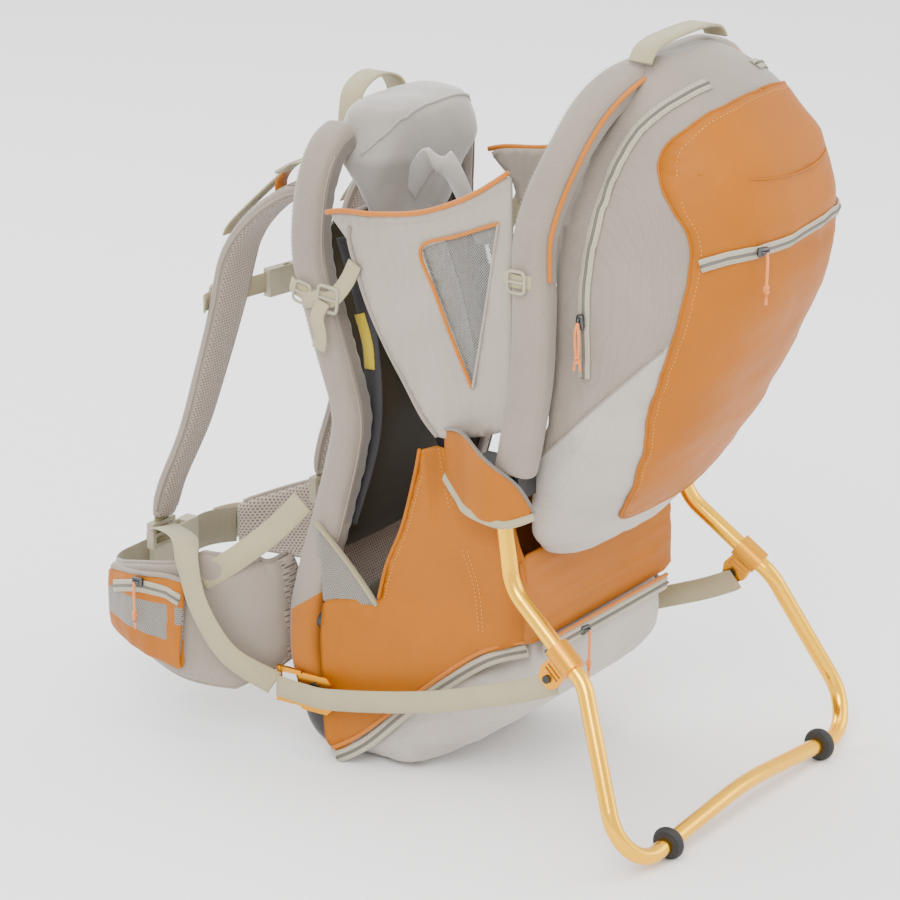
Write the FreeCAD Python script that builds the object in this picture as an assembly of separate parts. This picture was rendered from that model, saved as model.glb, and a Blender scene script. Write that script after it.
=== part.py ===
import FreeCAD, Part
import math
import os

V = FreeCAD.Vector

# A framed child carrier worn on the back.  Millimetres, +Z up, +Y towards the wearer, -X the wearer's left.
# Parts are laid out from the front frame; MODEL_SHIFT then puts the origin at the middle of the base.
MODEL_SHIFT = V(0, 34, 0)

# Tubes
TUBE_R = 8.0
SLEEVE_R = 18.5
SLEEVE_FORWARD = 2.5
SPLICE_R = 10.0
SPLICE_HALF = 35.0
FRAME_TOP_Z = 612.0
FRAME_TOP_Y = 52.0
FRAME_HALF_WIDTH = 118.0
FRAME_FOOT_HALF_WIDTH = 110.0
FOOT_BAR_Y = 50.0
FOOT_BAR_Z = 18.0
GUARD_R = 20.0
HOOP_HALF_WIDTH = 155.0
HOOP_TOP_Z = 702.0
RAIL_SOCKET_R = 11.5
RAIL_COLLAR_R = 14.0

# Kickstand
PIVOT_X = 150.0
PIVOT_Y = -174.0
PIVOT_Z = 312.0
PIN_R = 4.0
PIN_FIT = 0.05
CHEEK_GAP = 20.0
CHEEK_T = 5.0
RING_X = 140.0
RING_R = 16.0
RING_WIDTH = 14.0
BAR_RISE = 12.0
CLAMP_R = 12.0
CLAMP_LENGTH = 28.0
STAND_BAR_Y = -350.0
STAND_HALF_WIDTH = 220.0
PIN_HEAD_R = 8.0
RIVET_R = 4.0

# Fabric, webbing and padding
WEBBING_T = 1.6
NARROW_WEBBING = 20.0
STRAP_WEBBING = 25.0
BELT_WEBBING = 38.0
SHOULDER_WIDTH = 56.0
SHOULDER_T = 14.0
WING_T = 18.0
PANEL_T = 4.0
SEAT_HALF_WIDTH = 118.0
BAG_HALF_WIDTH = 112.0
POCKET_T = 9.0
HANDLE_T = 3.0
GUIDE_X = 133.5
BELT_FRONT_Y = 336.0
BELT_Z = 119.0
GAP = 0.4

SIDES = {"left": -1, "right": 1}


# ---------- helpers ----------

def route(points, radii):
    """Straight runs between the points, joined by tangent arcs of the given radii."""
    edges = []
    start = points[0]
    for i, radius in enumerate(radii, start=1):
        corner = points[i]
        back = (points[i - 1] - corner).normalize()
        ahead = (points[i + 1] - corner).normalize()
        half_angle = back.getAngle(ahead) / 2
        reach = radius / math.tan(half_angle)
        bisector = (back + ahead).normalize()
        centre = corner + bisector * (radius / math.sin(half_angle))
        arc_start = corner + back * reach
        arc_end = corner + ahead * reach
        edges.append(Part.LineSegment(start, arc_start).toShape())
        edges.append(Part.Arc(arc_start, centre - bisector * radius, arc_end).toShape())
        start = arc_end
    edges.append(Part.LineSegment(start, points[-1]).toShape())
    return Part.Wire(edges)


def tube(points, radii, radius):
    """A round bar along a route."""
    path = route(points, radii)
    profile = Part.Wire(Part.makeCircle(radius, points[0], points[1] - points[0]))
    return path.makePipeShell([profile], True, False)


def polygon(points):
    """A closed wire through the points."""
    return Part.makePolygon(list(points) + [points[0]])


def prism(points, direction):
    """A flat outline pushed along a vector."""
    return Part.Face(polygon(points)).extrude(direction)


def side_plate(outline, x_low, x_high):
    """A prism across X from an outline of (Y, Z) points."""
    return prism([V(x_low, y, z) for y, z in outline], V(x_high - x_low, 0, 0))


def box(low, high):
    return Part.makeBox(high.x - low.x, high.y - low.y, high.z - low.z, low)


def cylinder(radius, start, end):
    return Part.makeCylinder(radius, (end - start).Length, start, end - start)


def triangle(a, b, c):
    return Part.Face(Part.makePolygon([a, b, c, a]))


def loft(sections):
    """A closed solid through sections with equal numbers of corners, in flat triangles."""
    faces = []
    count = len(sections[0])
    for lower, upper in zip(sections, sections[1:]):
        for i in range(count):
            j = (i + 1) % count
            faces.append(triangle(lower[i], lower[j], upper[j]))
            faces.append(triangle(lower[i], upper[j], upper[i]))
    for end in (sections[0], sections[-1]):
        for i in range(1, count - 1):
            faces.append(triangle(end[0], end[i], end[i + 1]))
    solid = Part.Solid(Part.makeShell(faces))
    return solid if solid.Volume > 0 else solid.reversed()


def section(centre, across, normal, width, thickness, bevel):
    """A bevelled rectangle around a centre; bevel 0 gives the plain rectangle of a webbing."""
    w, t, b = width / 2, thickness / 2, bevel
    if b == 0:
        corners = [(-w, -t), (w, -t), (w, t), (-w, t)]
    else:
        corners = [(-w + b, -t), (w - b, -t), (w, -t + b), (w, t - b),
                   (w - b, t), (-w + b, t), (-w, t - b), (-w, -t + b)]
    return [centre + across * u + normal * v for u, v in corners]


def strip(points, across, widths, thickness, bevel=0.0):
    """A band along the points; across is its width direction, one vector or one for each point."""
    count = len(points)
    if not isinstance(across, list):
        across = [across] * count
    if not isinstance(widths, list):
        widths = [widths] * count
    sections = []
    for i in range(count):
        ahead = points[min(i + 1, count - 1)] - points[max(i - 1, 0)]
        side = V(across[i]).normalize()
        normal = ahead.cross(side).normalize()
        sections.append(section(points[i], side, normal, widths[i], thickness, bevel))
    return loft(sections)


def mirrored(shape):
    return shape.mirror(V(0, 0, 0), V(1, 0, 0))


def both_sides(name, shape):
    """The left piece and its mirror image as two nodes."""
    save(name + "_left", shape)
    save(name + "_right", mirrored(shape))


def save(name, shape):
    """Write one node; a group of separate solids is kept as a compound."""
    moved = shape.copy()
    moved.translate(MODEL_SHIFT)
    solids = moved.Solids
    result = solids[0] if len(solids) == 1 else Part.makeCompound(solids)
    result.exportStep(os.path.join("parts", name + ".step"))


def mirror_points(points):
    return [V(-p.x, p.y, p.z) for p in points]


# ---------- frame ----------

FRAME_SIDE = [
    V(-FRAME_FOOT_HALF_WIDTH, FOOT_BAR_Y, FOOT_BAR_Z),
    V(-114, 72, 140),
    V(-117, 10, 345),
    V(-FRAME_HALF_WIDTH, 62, 500),
    V(-FRAME_HALF_WIDTH, FRAME_TOP_Y, FRAME_TOP_Z),
]
FRAME_SIDE_RADII = [38, 120, 120, 100, 75]


def frame_path():
    left = [V(-0.5, FOOT_BAR_Y, FOOT_BAR_Z)] + FRAME_SIDE
    right = mirror_points(left)[::-1]
    return left + right, FRAME_SIDE_RADII + FRAME_SIDE_RADII[::-1]


def front_frame_tube():
    points, radii = frame_path()
    return tube(points, radii, TUBE_R)


def frame_splice(frame):
    """The ferrule over the joint in the middle of the foot bar."""
    ends = [V(s * SPLICE_HALF, FOOT_BAR_Y, FOOT_BAR_Z) for s in (-1, 1)]
    return cylinder(SPLICE_R, *ends).cut(frame)


def side_sleeve(frame, guard):
    """Padded sleeve round one side tube, from the corner guard to the top corner."""
    shift = V(0, SLEEVE_FORWARD, 0)
    points = [p + shift for p in FRAME_SIDE]
    foot = points[0] + (points[1] - points[0]) * 0.28
    head = points[4] + V(0, 0, -24)
    body = tube([foot] + points[1:4] + [head], FRAME_SIDE_RADII[1:4], SLEEVE_R)
    return body.cut(frame).cut(guard)


def corner_guard(frame):
    """Moulded elbow over the lower corner, cut flat where it stands on the ground."""
    corner = FRAME_SIDE[0]
    up = corner + (FRAME_SIDE[1] - corner) * 0.36
    inward = V(-52, FOOT_BAR_Y, FOOT_BAR_Z)
    elbow = tube([inward, corner, up], [40], GUARD_R)
    ground = box(V(-200, -100, -50), V(0, 200, 0))
    return elbow.cut(ground).cut(frame)


HOOP_SIDE = [
    V(-152, -184, 336),
    V(-HOOP_HALF_WIDTH, -209, 445),
    V(-HOOP_HALF_WIDTH, -207, 545),
    V(-150, -248, HOOP_TOP_Z),
]
HOOP_RADII = [150, 150, 118]


def hoop_path():
    points = HOOP_SIDE + mirror_points(HOOP_SIDE)[::-1]
    return points, HOOP_RADII + HOOP_RADII[::-1]


def rear_hoop_tube():
    points, radii = hoop_path()
    return tube(points, radii, TUBE_R)


def rear_hoop_sleeve(hoop, brackets):
    points, radii = hoop_path()
    lift = (points[1] - points[0]) * 0.17
    points[0] = points[0] + lift
    points[-1] = V(-points[0].x, points[0].y, points[0].z)
    sleeve = tube(points, radii, SLEEVE_R).cut(hoop)
    return sleeve.cut(brackets)


RAIL_FRONT = V(-114, 68.7, 140)
RAIL_POINTS = [V(-141, -160, 338), V(-107, -112, 160), V(-112, 59, 141)]


def side_rail():
    """Bent seat rail, from the hinge bracket down behind the seat and forwards to the front frame."""
    return tube(RAIL_POINTS, [50], TUBE_R)


def rail_clamp(frame, rail):
    """Collar on the front frame's side with a socket for the rail."""
    collar = cylinder(RAIL_COLLAR_R, RAIL_FRONT - V(0, 0, 16), RAIL_FRONT + V(0, 0, 16))
    back = (RAIL_POINTS[1] - RAIL_FRONT).normalize()
    socket = cylinder(RAIL_SOCKET_R, RAIL_FRONT, RAIL_FRONT + back * 34)
    return collar.fuse(socket).cut(frame).cut(rail)


def hinge_bracket(hoop, rail, pins):
    """Joins the rail and the rear hoop, with two cheeks for the kickstand's pin."""
    half = CHEEK_GAP / 2 + CHEEK_T
    low = V(-PIVOT_X - half, PIVOT_Y - 26, PIVOT_Z + 13)
    high = V(-PIVOT_X + half, PIVOT_Y + 26, PIVOT_Z + 44)
    block = box(low, high)
    cheeks = []
    for x in (-PIVOT_X - half, -PIVOT_X + CHEEK_GAP / 2):
        outline = [(PIVOT_Y - 14, PIVOT_Z + 14), (PIVOT_Y - 14, PIVOT_Z - 6), (PIVOT_Y - 8, PIVOT_Z - 13),
                   (PIVOT_Y + 8, PIVOT_Z - 13), (PIVOT_Y + 14, PIVOT_Z - 6), (PIVOT_Y + 14, PIVOT_Z + 14)]
        cheeks.append(side_plate(outline, x, x + CHEEK_T))
    return block.fuse(cheeks).cut(hoop).cut(rail).cut(pins)


def hinge_pin():
    half = CHEEK_GAP / 2 + CHEEK_T
    pivot = V(-PIVOT_X, PIVOT_Y, PIVOT_Z)
    shank = cylinder(PIN_R, pivot - V(half, 0, 0), pivot + V(half, 0, 0))
    heads = [cylinder(PIN_HEAD_R, pivot + V(s * half, 0, 0), pivot + V(s * (half + 3), 0, 0)) for s in (-1, 1)]
    return shank.fuse(heads).removeSplitter()


# ---------- kickstand ----------

STAND_LEG = [
    V(-PIVOT_X, PIVOT_Y + 1.5, PIVOT_Z + 9),
    V(-155, -187, 236),
    V(-170, -276, 166),
]
STAND_RADII = [45, 40, 42]


def stand_path():
    """Leg, cross bar and leg; the bar rises a little from the rubber rings to its middle."""
    middle = V(0, STAND_BAR_Y, RING_R + BAR_RISE)
    drop = BAR_RISE * (STAND_HALF_WIDTH - RING_X) / RING_X
    left = STAND_LEG + [V(-STAND_HALF_WIDTH, STAND_BAR_Y, RING_R - drop)]
    return left + [middle] + mirror_points(left)[::-1], STAND_RADII + [400] + STAND_RADII[::-1]


def kickstand_tube():
    points, radii = stand_path()
    bar = tube(points, radii, TUBE_R)
    for x in (-PIVOT_X, PIVOT_X):
        pivot = V(x, PIVOT_Y, PIVOT_Z)
        bar = bar.cut(cylinder(PIN_R + PIN_FIT, pivot - V(20, 0, 0), pivot + V(20, 0, 0)))
    return bar


def stand_foot(stand):
    """Rubber ring on the cross bar: a band with a rounded crown."""
    centre = V(-RING_X, STAND_BAR_Y, RING_R)
    along = V(RING_X, 0, BAR_RISE).normalize()
    band = cylinder(RING_R - 4, centre - along * (RING_WIDTH / 2), centre + along * (RING_WIDTH / 2))
    crown = Part.makeTorus(RING_R - 5, 5, centre, along)
    return band.fuse(crown).cut(stand).removeSplitter()


def clamp_axis():
    """Middle of the collar, direction along the leg and direction of the tab, below and behind."""
    start, end = STAND_LEG[1], STAND_LEG[2]
    along = (end - start).normalize()
    down = along.cross(V(-1, 0, 0)).normalize()
    if down.z > 0:
        down = down * -1
    return start + (end - start) * 0.74, along, down


def stand_clamp(stand, rivets):
    """Painted collar on the leg with a slotted tab that the strap hooks into."""
    centre, along, down = clamp_axis()
    collar = cylinder(CLAMP_R, centre - along * (CLAMP_LENGTH / 2), centre + along * (CLAMP_LENGTH / 2))
    tab = [centre + along * a + down * d for a, d in
           ((-11, 8), (11, 8), (13, 26), (8, 36), (-8, 36), (-13, 26))]
    plate = prism([p - V(2.5, 0, 0) for p in tab], V(5, 0, 0))
    slots = []
    for depth in (17, 21.5):
        low = centre + down * depth - V(5, 0, 0)
        corners = [low + along * a + down * d for a, d in ((-9, -1.2), (9, -1.2), (9, 1.2), (-9, 1.2))]
        slots.append(prism(corners, V(10, 0, 0)))
    return collar.fuse(plate).cut(slots[0]).cut(slots[1]).cut(stand).cut(rivets)


def clamp_rivet(stand):
    centre, along, down = clamp_axis()
    middle = centre + down * 29
    return cylinder(RIVET_R, middle - V(5, 0, 0), middle + V(5, 0, 0)).cut(stand)


# ---------- base ----------

BAG_OUTLINE = [(74, 3), (-37, 3), (-95, 41), (-152, 83), (-186, 112), (-192, 135), (-190, 165), (-180, 178),
               (-139, 178), (-139, 154), (70, 154), (76, 120)]


def base_board():
    return box(V(-92, -36, 4), V(92, 40, 8))


def storage_bag(cutters):
    bag = side_plate(BAG_OUTLINE, -BAG_HALF_WIDTH, BAG_HALF_WIDTH)
    for cutter in cutters:
        bag = bag.cut(cutter)
    return bag


def strap_guide(screws):
    """Plate screwed to the side of the frame, with a loop in front that the strap runs through."""
    plate = side_plate([(30, 58), (36, 52), (64, 52), (70, 58), (70, 84), (64, 90), (36, 90), (30, 84)],
                       -GUIDE_X - 4, -GUIDE_X)
    arms = [box(V(-GUIDE_X - 4, 66, z), V(-GUIDE_X, 94, z + 5)) for z in (55, 86)]
    post = cylinder(3.0, V(-GUIDE_X - 2, 93, 55), V(-GUIDE_X - 2, 93, 91))
    return plate.fuse(arms + [post]).cut(screws)


def guide_screw_pair():
    screws = [cylinder(4.5, V(-GUIDE_X, 50, z), V(-GUIDE_X - 6.5, 50, z)) for z in (63, 79)]
    return Part.makeCompound(screws)


# ---------- seat and cockpit ----------

GUSSET_OUTLINE = [(38, 243), (-16, 180), (-31, 219), (-54, 264), (-74, 318), (-84, 350), (-132, 350),
                  (-132, 155), (44, 155), (50, 200)]


def seat_side_x(z):
    """The seat's sides lean outwards towards the top."""
    return -SEAT_HALF_WIDTH - (z - 155) * 0.17


def seat_bucket(cutters):
    """Seat pan, rear wall and the two side gussets, sewn as one piece and open at both leg holes."""
    pan = box(V(-97, -132, 155), V(97, 30, 171))
    corners = [V(s * seat_side_x(z), -138, z) for s, z in ((1, 155), (-1, 155), (-1, 340), (1, 340))]
    wall = prism(corners, V(0, 10, 0))
    left = prism([V(seat_side_x(z), y, z) for y, z in GUSSET_OUTLINE], V(PANEL_T, 0, 0))
    bucket = pan.fuse([wall, left, mirrored(left)])
    for cutter in cutters:
        bucket = bucket.cut(cutter)
    return bucket.removeSplitter()


def cockpit_point(y, z):
    """A point of the left side panel, which runs outwards from the front frame to the rear hoop."""
    return V(-138 - (12 - y) * 0.1, y, z)


PANEL_OUTLINE = [(30, 553), (12, 558), (-27, 562), (-83, 574), (-137, 598), (-184, 628), (-186, 560), (-186, 430),
                 (-178, 388), (-150, 374), (-100, 362), (-82, 380), (-60, 410), (-38, 440), (-15, 479), (4, 528)]
WINDOW_OUTLINE = [(-80, 540), (-180, 583), (-143, 419)]


def side_panel(cutters):
    inward = V(PANEL_T, 0, 0)
    panel = prism([cockpit_point(y, z) for y, z in PANEL_OUTLINE], inward)
    window = prism([cockpit_point(y, z) for y, z in WINDOW_OUTLINE], inward)
    panel = panel.cut(window)
    for cutter in cutters:
        panel = panel.cut(cutter)
    return panel


def window_mesh():
    """Thin mesh filling the triangular window, at the middle of the panel's thickness."""
    points = [cockpit_point(y, z) + V(PANEL_T / 2 - 0.5, 0, 0) for y, z in WINDOW_OUTLINE]
    return prism(points, V(1.0, 0, 0))


def harness_straps():
    """Two shoulder bands of the child's harness and the webbing between the legs."""
    crotch = [V(0, -34, 172.5), V(0, -31, 210), V(0, -22, 262)]
    bands = [strip(crotch, V(1, 0, 0), STRAP_WEBBING, WEBBING_T)]
    for s in (-1, 1):
        points = [V(s * 34, 34, 500), V(s * 34, 14, 452), V(s * 33, -6, 390), V(s * 30, -16, 330)]
        bands.append(strip(points, V(1, 0, 0), 30, 8.0, 2.5))
    return Part.makeCompound(bands)


HARNESS_BUCKLE = V(0, -22, 284)


def harness_buckle():
    c = HARNESS_BUCKLE
    body = box(c - V(26, 6, 21.5), c + V(26, 6, 20))
    return body.makeFillet(5, [e for e in body.Edges if abs(e.Length - 12) < 0.01])


# ---------- daypack ----------

DAYPACK_LEVELS = [
    (246, -176, -214, 96), (272, -178, -236, 126), (324, -184, -282, 136), (381, -200, -322, 140),
    (445, -209, -357, 142), (507, -209, -387, 142), (556, -212, -400, 140), (602, -224, -399, 134),
    (646, -235, -385, 122), (684, -245, -356, 102), (712, -250, -318, 78), (728, -254, -284, 48),
]
POCKET_DEPTH = 9.0
POCKET_LOW = V(-92, -460, 300)
POCKET_HIGH = V(92, -250, 566)


def daypack_shape():
    sections = []
    for z, front, back, half in DAYPACK_LEVELS:
        depth = front - back
        outline = [(half, 0), (half, 0.35), (half * 0.86, 0.72), (half * 0.58, 0.94), (half * 0.2, 1.0)]
        right = [V(x, front - depth * d, z) for x, d in outline]
        sections.append(right + mirror_points(right)[::-1])
    return loft(sections)


def daypack(cutters):
    """The daypack and the flat pocket that stands on its back panel."""
    whole = daypack_shape()
    inner = whole.copy()
    inner.translate(V(0, POCKET_DEPTH, 0))
    pocket = whole.common(box(POCKET_LOW, POCKET_HIGH)).cut(inner)
    body = whole.cut(box(POCKET_LOW, POCKET_HIGH)).fuse(whole.common(inner))
    for cutter in cutters:
        body = body.cut(cutter)
    return body, pocket


# ---------- wearer's padding ----------

def back_panel():
    """Padded panel between the side sleeves; the wearer's back rests on it."""
    profile = [(200, 58), (236, 46), (345, 13), (400, 28), (490, 58), (532, 58)]
    front = [(y + 10, z) for z, y in profile]
    back = [(y - 4, z) for z, y in reversed(profile)]
    return side_plate(front + back, -95, 95)


def lumbar_pad():
    return side_plate([(80, 100), (80, 212), (92, 220), (108, 214), (116, 190), (116, 120), (106, 98)], -80, 80)


WING_PATH = [(V(-81, 106, 0), 105, 205), (V(-118, 108, 0), 92, 188), (V(-148, 134, 0), 74, 195),
             (V(-160, 184, 0), 56, 194), (V(-152, 238, 0), 66, 181), (V(-128, 286, 0), 82, 158),
             (V(-100, 318, 0), 96, 142)]


def hip_wing():
    points = [p + V(0, 0, (low + high) / 2) for p, low, high in WING_PATH]
    widths = [high - low for p, low, high in WING_PATH]
    return strip(points, V(0, 0, 1), widths, WING_T, 5.0)


def outward(points):
    """Unit vectors in plan, square to a path that runs forwards on the left side."""
    normals = []
    for i in range(len(points)):
        ahead = points[min(i + 1, len(points) - 1)] - points[max(i - 1, 0)]
        normals.append(V(-ahead.y, ahead.x, 0).normalize())
    return normals


def hip_pocket(wing):
    """Flat zipped pocket on the outside of the wing."""
    points = [p for p, low, high in WING_PATH]
    normals = outward(points)
    centres = [points[i] + normals[i] * (WING_T + POCKET_T) / 2 + V(0, 0, 126) for i in (3, 4, 5)]
    return strip(centres, V(0, 0, 1), [94, 90, 66], POCKET_T, 2.5).cut(wing)


def hip_webbing(inner_end):
    """Wide webbing from the wing's tip to the buckle; the last stretch is straight along X."""
    points = [V(-99.4, 318.6, BELT_Z), V(-84, 330, BELT_Z), V(-68, BELT_FRONT_Y, BELT_Z),
              V(inner_end, BELT_FRONT_Y, BELT_Z)]
    return strip(points, V(0, 0, 1), BELT_WEBBING, WEBBING_T)


class Buckle:
    """Side-release buckle about the origin: the socket lies towards +X, the plug towards -X.

    The webbing runs along X through slots at `rise` in front of the prongs, so the plug can slide along it.
    """

    def __init__(self, length, height, depth):
        self.length = length
        self.height = height
        self.depth = depth
        self.wall = 0.9
        self.rise = depth / 2 - self.wall - GAP - WEBBING_T / 2
        self.prong_top = self.rise - WEBBING_T / 2 - GAP - 0.4

    def socket(self, webbing):
        half, tall = self.depth / 2, self.height / 2
        shell = box(V(0, -half, -tall), V(self.length, half, tall))
        cavity = box(V(-1, -half + 1.2, -tall + 4), V(self.length * 0.6, self.prong_top + GAP, tall - 4))
        shell = shell.cut(cavity)
        for low in (-tall - 1, tall - 4.5):
            side = box(V(self.length * 0.2, -half + 1.2, low), V(self.length * 0.56, self.prong_top + GAP, low + 5.5))
            shell = shell.cut(side)
        return shell.cut(webbing)

    def plug(self, webbing_height):
        half, tall = self.depth / 2, self.height / 2
        body = box(V(-self.length * 0.62, -half, -tall), V(-GAP, half, tall))
        slot_half = webbing_height / 2 + GAP
        slot_depth = WEBBING_T / 2 + GAP
        slot = box(V(-self.length, self.rise - slot_depth, -slot_half), V(1, self.rise + slot_depth, slot_half))
        prongs = []
        for low in (-tall + 4 + GAP, -2, tall - 8 - GAP):
            prongs.append(box(V(-2, -half + 1.2 + GAP, low), V(self.length * 0.54, self.prong_top, low + 4)))
        return body.cut(slot).fuse(prongs)


def placed(shape, turn_deg, position):
    moved = shape.copy()
    moved.rotate(V(0, 0, 0), V(0, 0, 1), turn_deg)
    moved.translate(position)
    return moved


SHOULDER_X = [70, 74, 79, 82, 84, 86, 90, 96, 100]
SHOULDER_LEFT = [(88, 556), (112, 549), (146, 522), (172, 484), (186, 430), (202, 374), (224, 300), (250, 236),
                 (258, 200)]
SHOULDER_RIGHT = [(88, 556), (110, 549), (134, 522), (150, 484), (156, 430), (160, 374), (172, 300), (196, 236),
                  (206, 200)]


def shoulder_path(s):
    """Left strap hangs free in front; the right one lies nearer the back panel."""
    rows = SHOULDER_LEFT if s < 0 else SHOULDER_RIGHT
    return [V(s * x, y, z) for x, (y, z) in zip(SHOULDER_X, rows)]


def shoulder_strap(s):
    widths = [44, 52, SHOULDER_WIDTH, SHOULDER_WIDTH, SHOULDER_WIDTH, 54, 50, 42, 34]
    return strip(shoulder_path(s), V(1, 0, 0), widths, SHOULDER_T, 4.5)


def load_lifter(s):
    """Short webbing from the frame's top corner down to the shoulder strap."""
    anchor = shoulder_path(s)[3]
    points = [V(s * 84, 76, 588), V(s * 82, 104, 577), V(s * 81, anchor.y + 2, anchor.z + 30),
              V(s * 81, anchor.y + 14, anchor.z + 12)]
    return strip(points, V(1, 0, 0), NARROW_WEBBING, WEBBING_T)


STERNUM_LEFT = V(-84, 198, 432)
STERNUM_RIGHT = V(84, 168, 432)


def sternum_place():
    """Turn about Z and position of the sternum buckle, on the line between the two shoulder straps."""
    line = STERNUM_RIGHT - STERNUM_LEFT
    turn = math.degrees(math.atan2(line.y, line.x))
    return turn, STERNUM_LEFT + line * 0.46


def sternum_straps(shoulder_left, shoulder_right, buckle):
    """Webbing of the chest strap on each side, with the keeper that holds it to the shoulder strap."""
    middle = sternum_place()[1]
    line = (STERNUM_RIGHT - STERNUM_LEFT).normalize()
    webbings = []
    for end, inner, shoulder in ((STERNUM_LEFT, -6.0, shoulder_left),
                                 (STERNUM_RIGHT, buckle.length * 0.9, shoulder_right)):
        points = [end, middle + line * inner]
        webbings.append(strip(points, V(0, 0, 1), NARROW_WEBBING, WEBBING_T).cut(shoulder))
    keepers = []
    for end, shoulder in ((STERNUM_LEFT, shoulder_left), (STERNUM_RIGHT, shoulder_right)):
        block = box(end - V(12, 9, 14), end + V(12, -WEBBING_T / 2 - 1.5, 14))
        keepers.append(block.cut(shoulder))
    return webbings, keepers


def strap_lock(s):
    """Ladder lock under the end of a shoulder strap."""
    end = shoulder_path(s)[8]
    centre = end + V(0, 3, -17)
    block = box(centre - V(18, 4, 13), centre + V(18, 4, 13))
    lower = box(centre - V(13, 5, 9), centre + V(13, 5, -2))
    upper = box(centre - V(13, 5, -2), centre + V(13, 5, 9))
    return block.cut(lower).cut(upper)


def belt_strap(s):
    """Long strap from the ladder lock, over the hip wing, back to the guide at the foot of the frame."""
    end = shoulder_path(s)[8]
    points = [V(s * 103, end.y + 3, 184), V(s * 122, end.y - 22, 199), V(s * 158, 188, 208),
              V(s * 177, 170, 192), V(s * 181, 152, 152), V(s * 170, 126, 106), V(s * 141, 95, 74)]
    across = [V(s, 0.3, 0), V(s * 0.8, 0.6, 0), V(s * 0.3, 0.95, 0), V(0, 1, -0.1), V(0, 0.9, -0.45),
              V(0, 0.7, -0.7), V(0, 0.1, -1)]
    return strip(points, across, STRAP_WEBBING, WEBBING_T)


def stand_strap():
    """The rest of that strap, from the guide back to the tab on the kickstand."""
    points = [V(-141, 88, 72), V(-143.5, 20, 78), V(-149, -90, 104), V(-156.5, -190, 138), V(-159.2, -233, 153)]
    return strip(points, V(0, 0, 1), STRAP_WEBBING - 3, WEBBING_T)


def haul_handle():
    """Doubled webbing loop sewn to the front frame on both sides of the head pad's top."""
    left = [V(-42, 72, 600), V(-40, 72, 626), V(-24, 74, 648)]
    points = left + [V(0, 74, 654)] + mirror_points(left)[::-1]
    return strip(points, V(0, 1, 0), STRAP_WEBBING, HANDLE_T)


def daypack_handle():
    left = [V(-62, -262, 727), V(-50, -262, 735), V(-20, -264, 741)]
    return strip(left + mirror_points(left)[::-1], V(0, 1, 0), STRAP_WEBBING, HANDLE_T)


def head_pad(frame):
    """Soft pad folded over the top bar, tapering down the child's side."""
    rows = [(641, 8, 58, 58), (630, -4, 70, 78), (600, -8, 75, 84), (560, 4, 60, 76), (528, 14, 48, 60),
            (508, 24, 44, 44)]
    sections = []
    for z, back, front, half in rows:
        left = [V(-half, front - 6, z), V(-half, back + 6, z), V(-half + 8, back, z)]
        right = mirror_points(left)[::-1]
        sections.append(left + right + [V(half - 8, front, z), V(-half + 8, front, z)])
    return loft(sections).cut(frame)


# ---------- zip sliders ----------

def zip_slider(position, along, out):
    """Slider standing clear of its zip on the side `out`, with a short cord pull hanging from it."""
    along = V(along).normalize()
    out = V(out).normalize()
    side = along.cross(out).normalize()
    foot = position + out * GAP
    corners = [foot + along * a + side * b for a, b in ((-7, -4.5), (7, -4.5), (7, 4.5), (-7, 4.5))]
    body = prism(corners, out * 4)
    top = foot + out * 6
    pull = cylinder(1.6, top, top + V(0, 0, -30))
    grip = cylinder(3.0, top + V(0, 0, -44), top + V(0, 0, -26))
    return body.fuse([cylinder(2.2, foot + out * 2, top + out * 1.5), pull, grip])


ZIP_SLIDERS = {
    "storage_zip_slider": (V(-40, -192, 160), V(1, 0, 0), V(0, -1, 0)),
    "daypack_zip_slider": (V(-143, -252, 500), V(0, 0, 1), V(-1, 0, 0)),
    "pocket_zip_slider": (V(-68, -391.8, 570), V(52.5, -11, 0), V(-11, -52.5, 0)),
    "hip_zip_slider": (V(-172.5, 233, 160), V(8, 54, 0), V(-54, 8, 0)),
}


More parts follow.
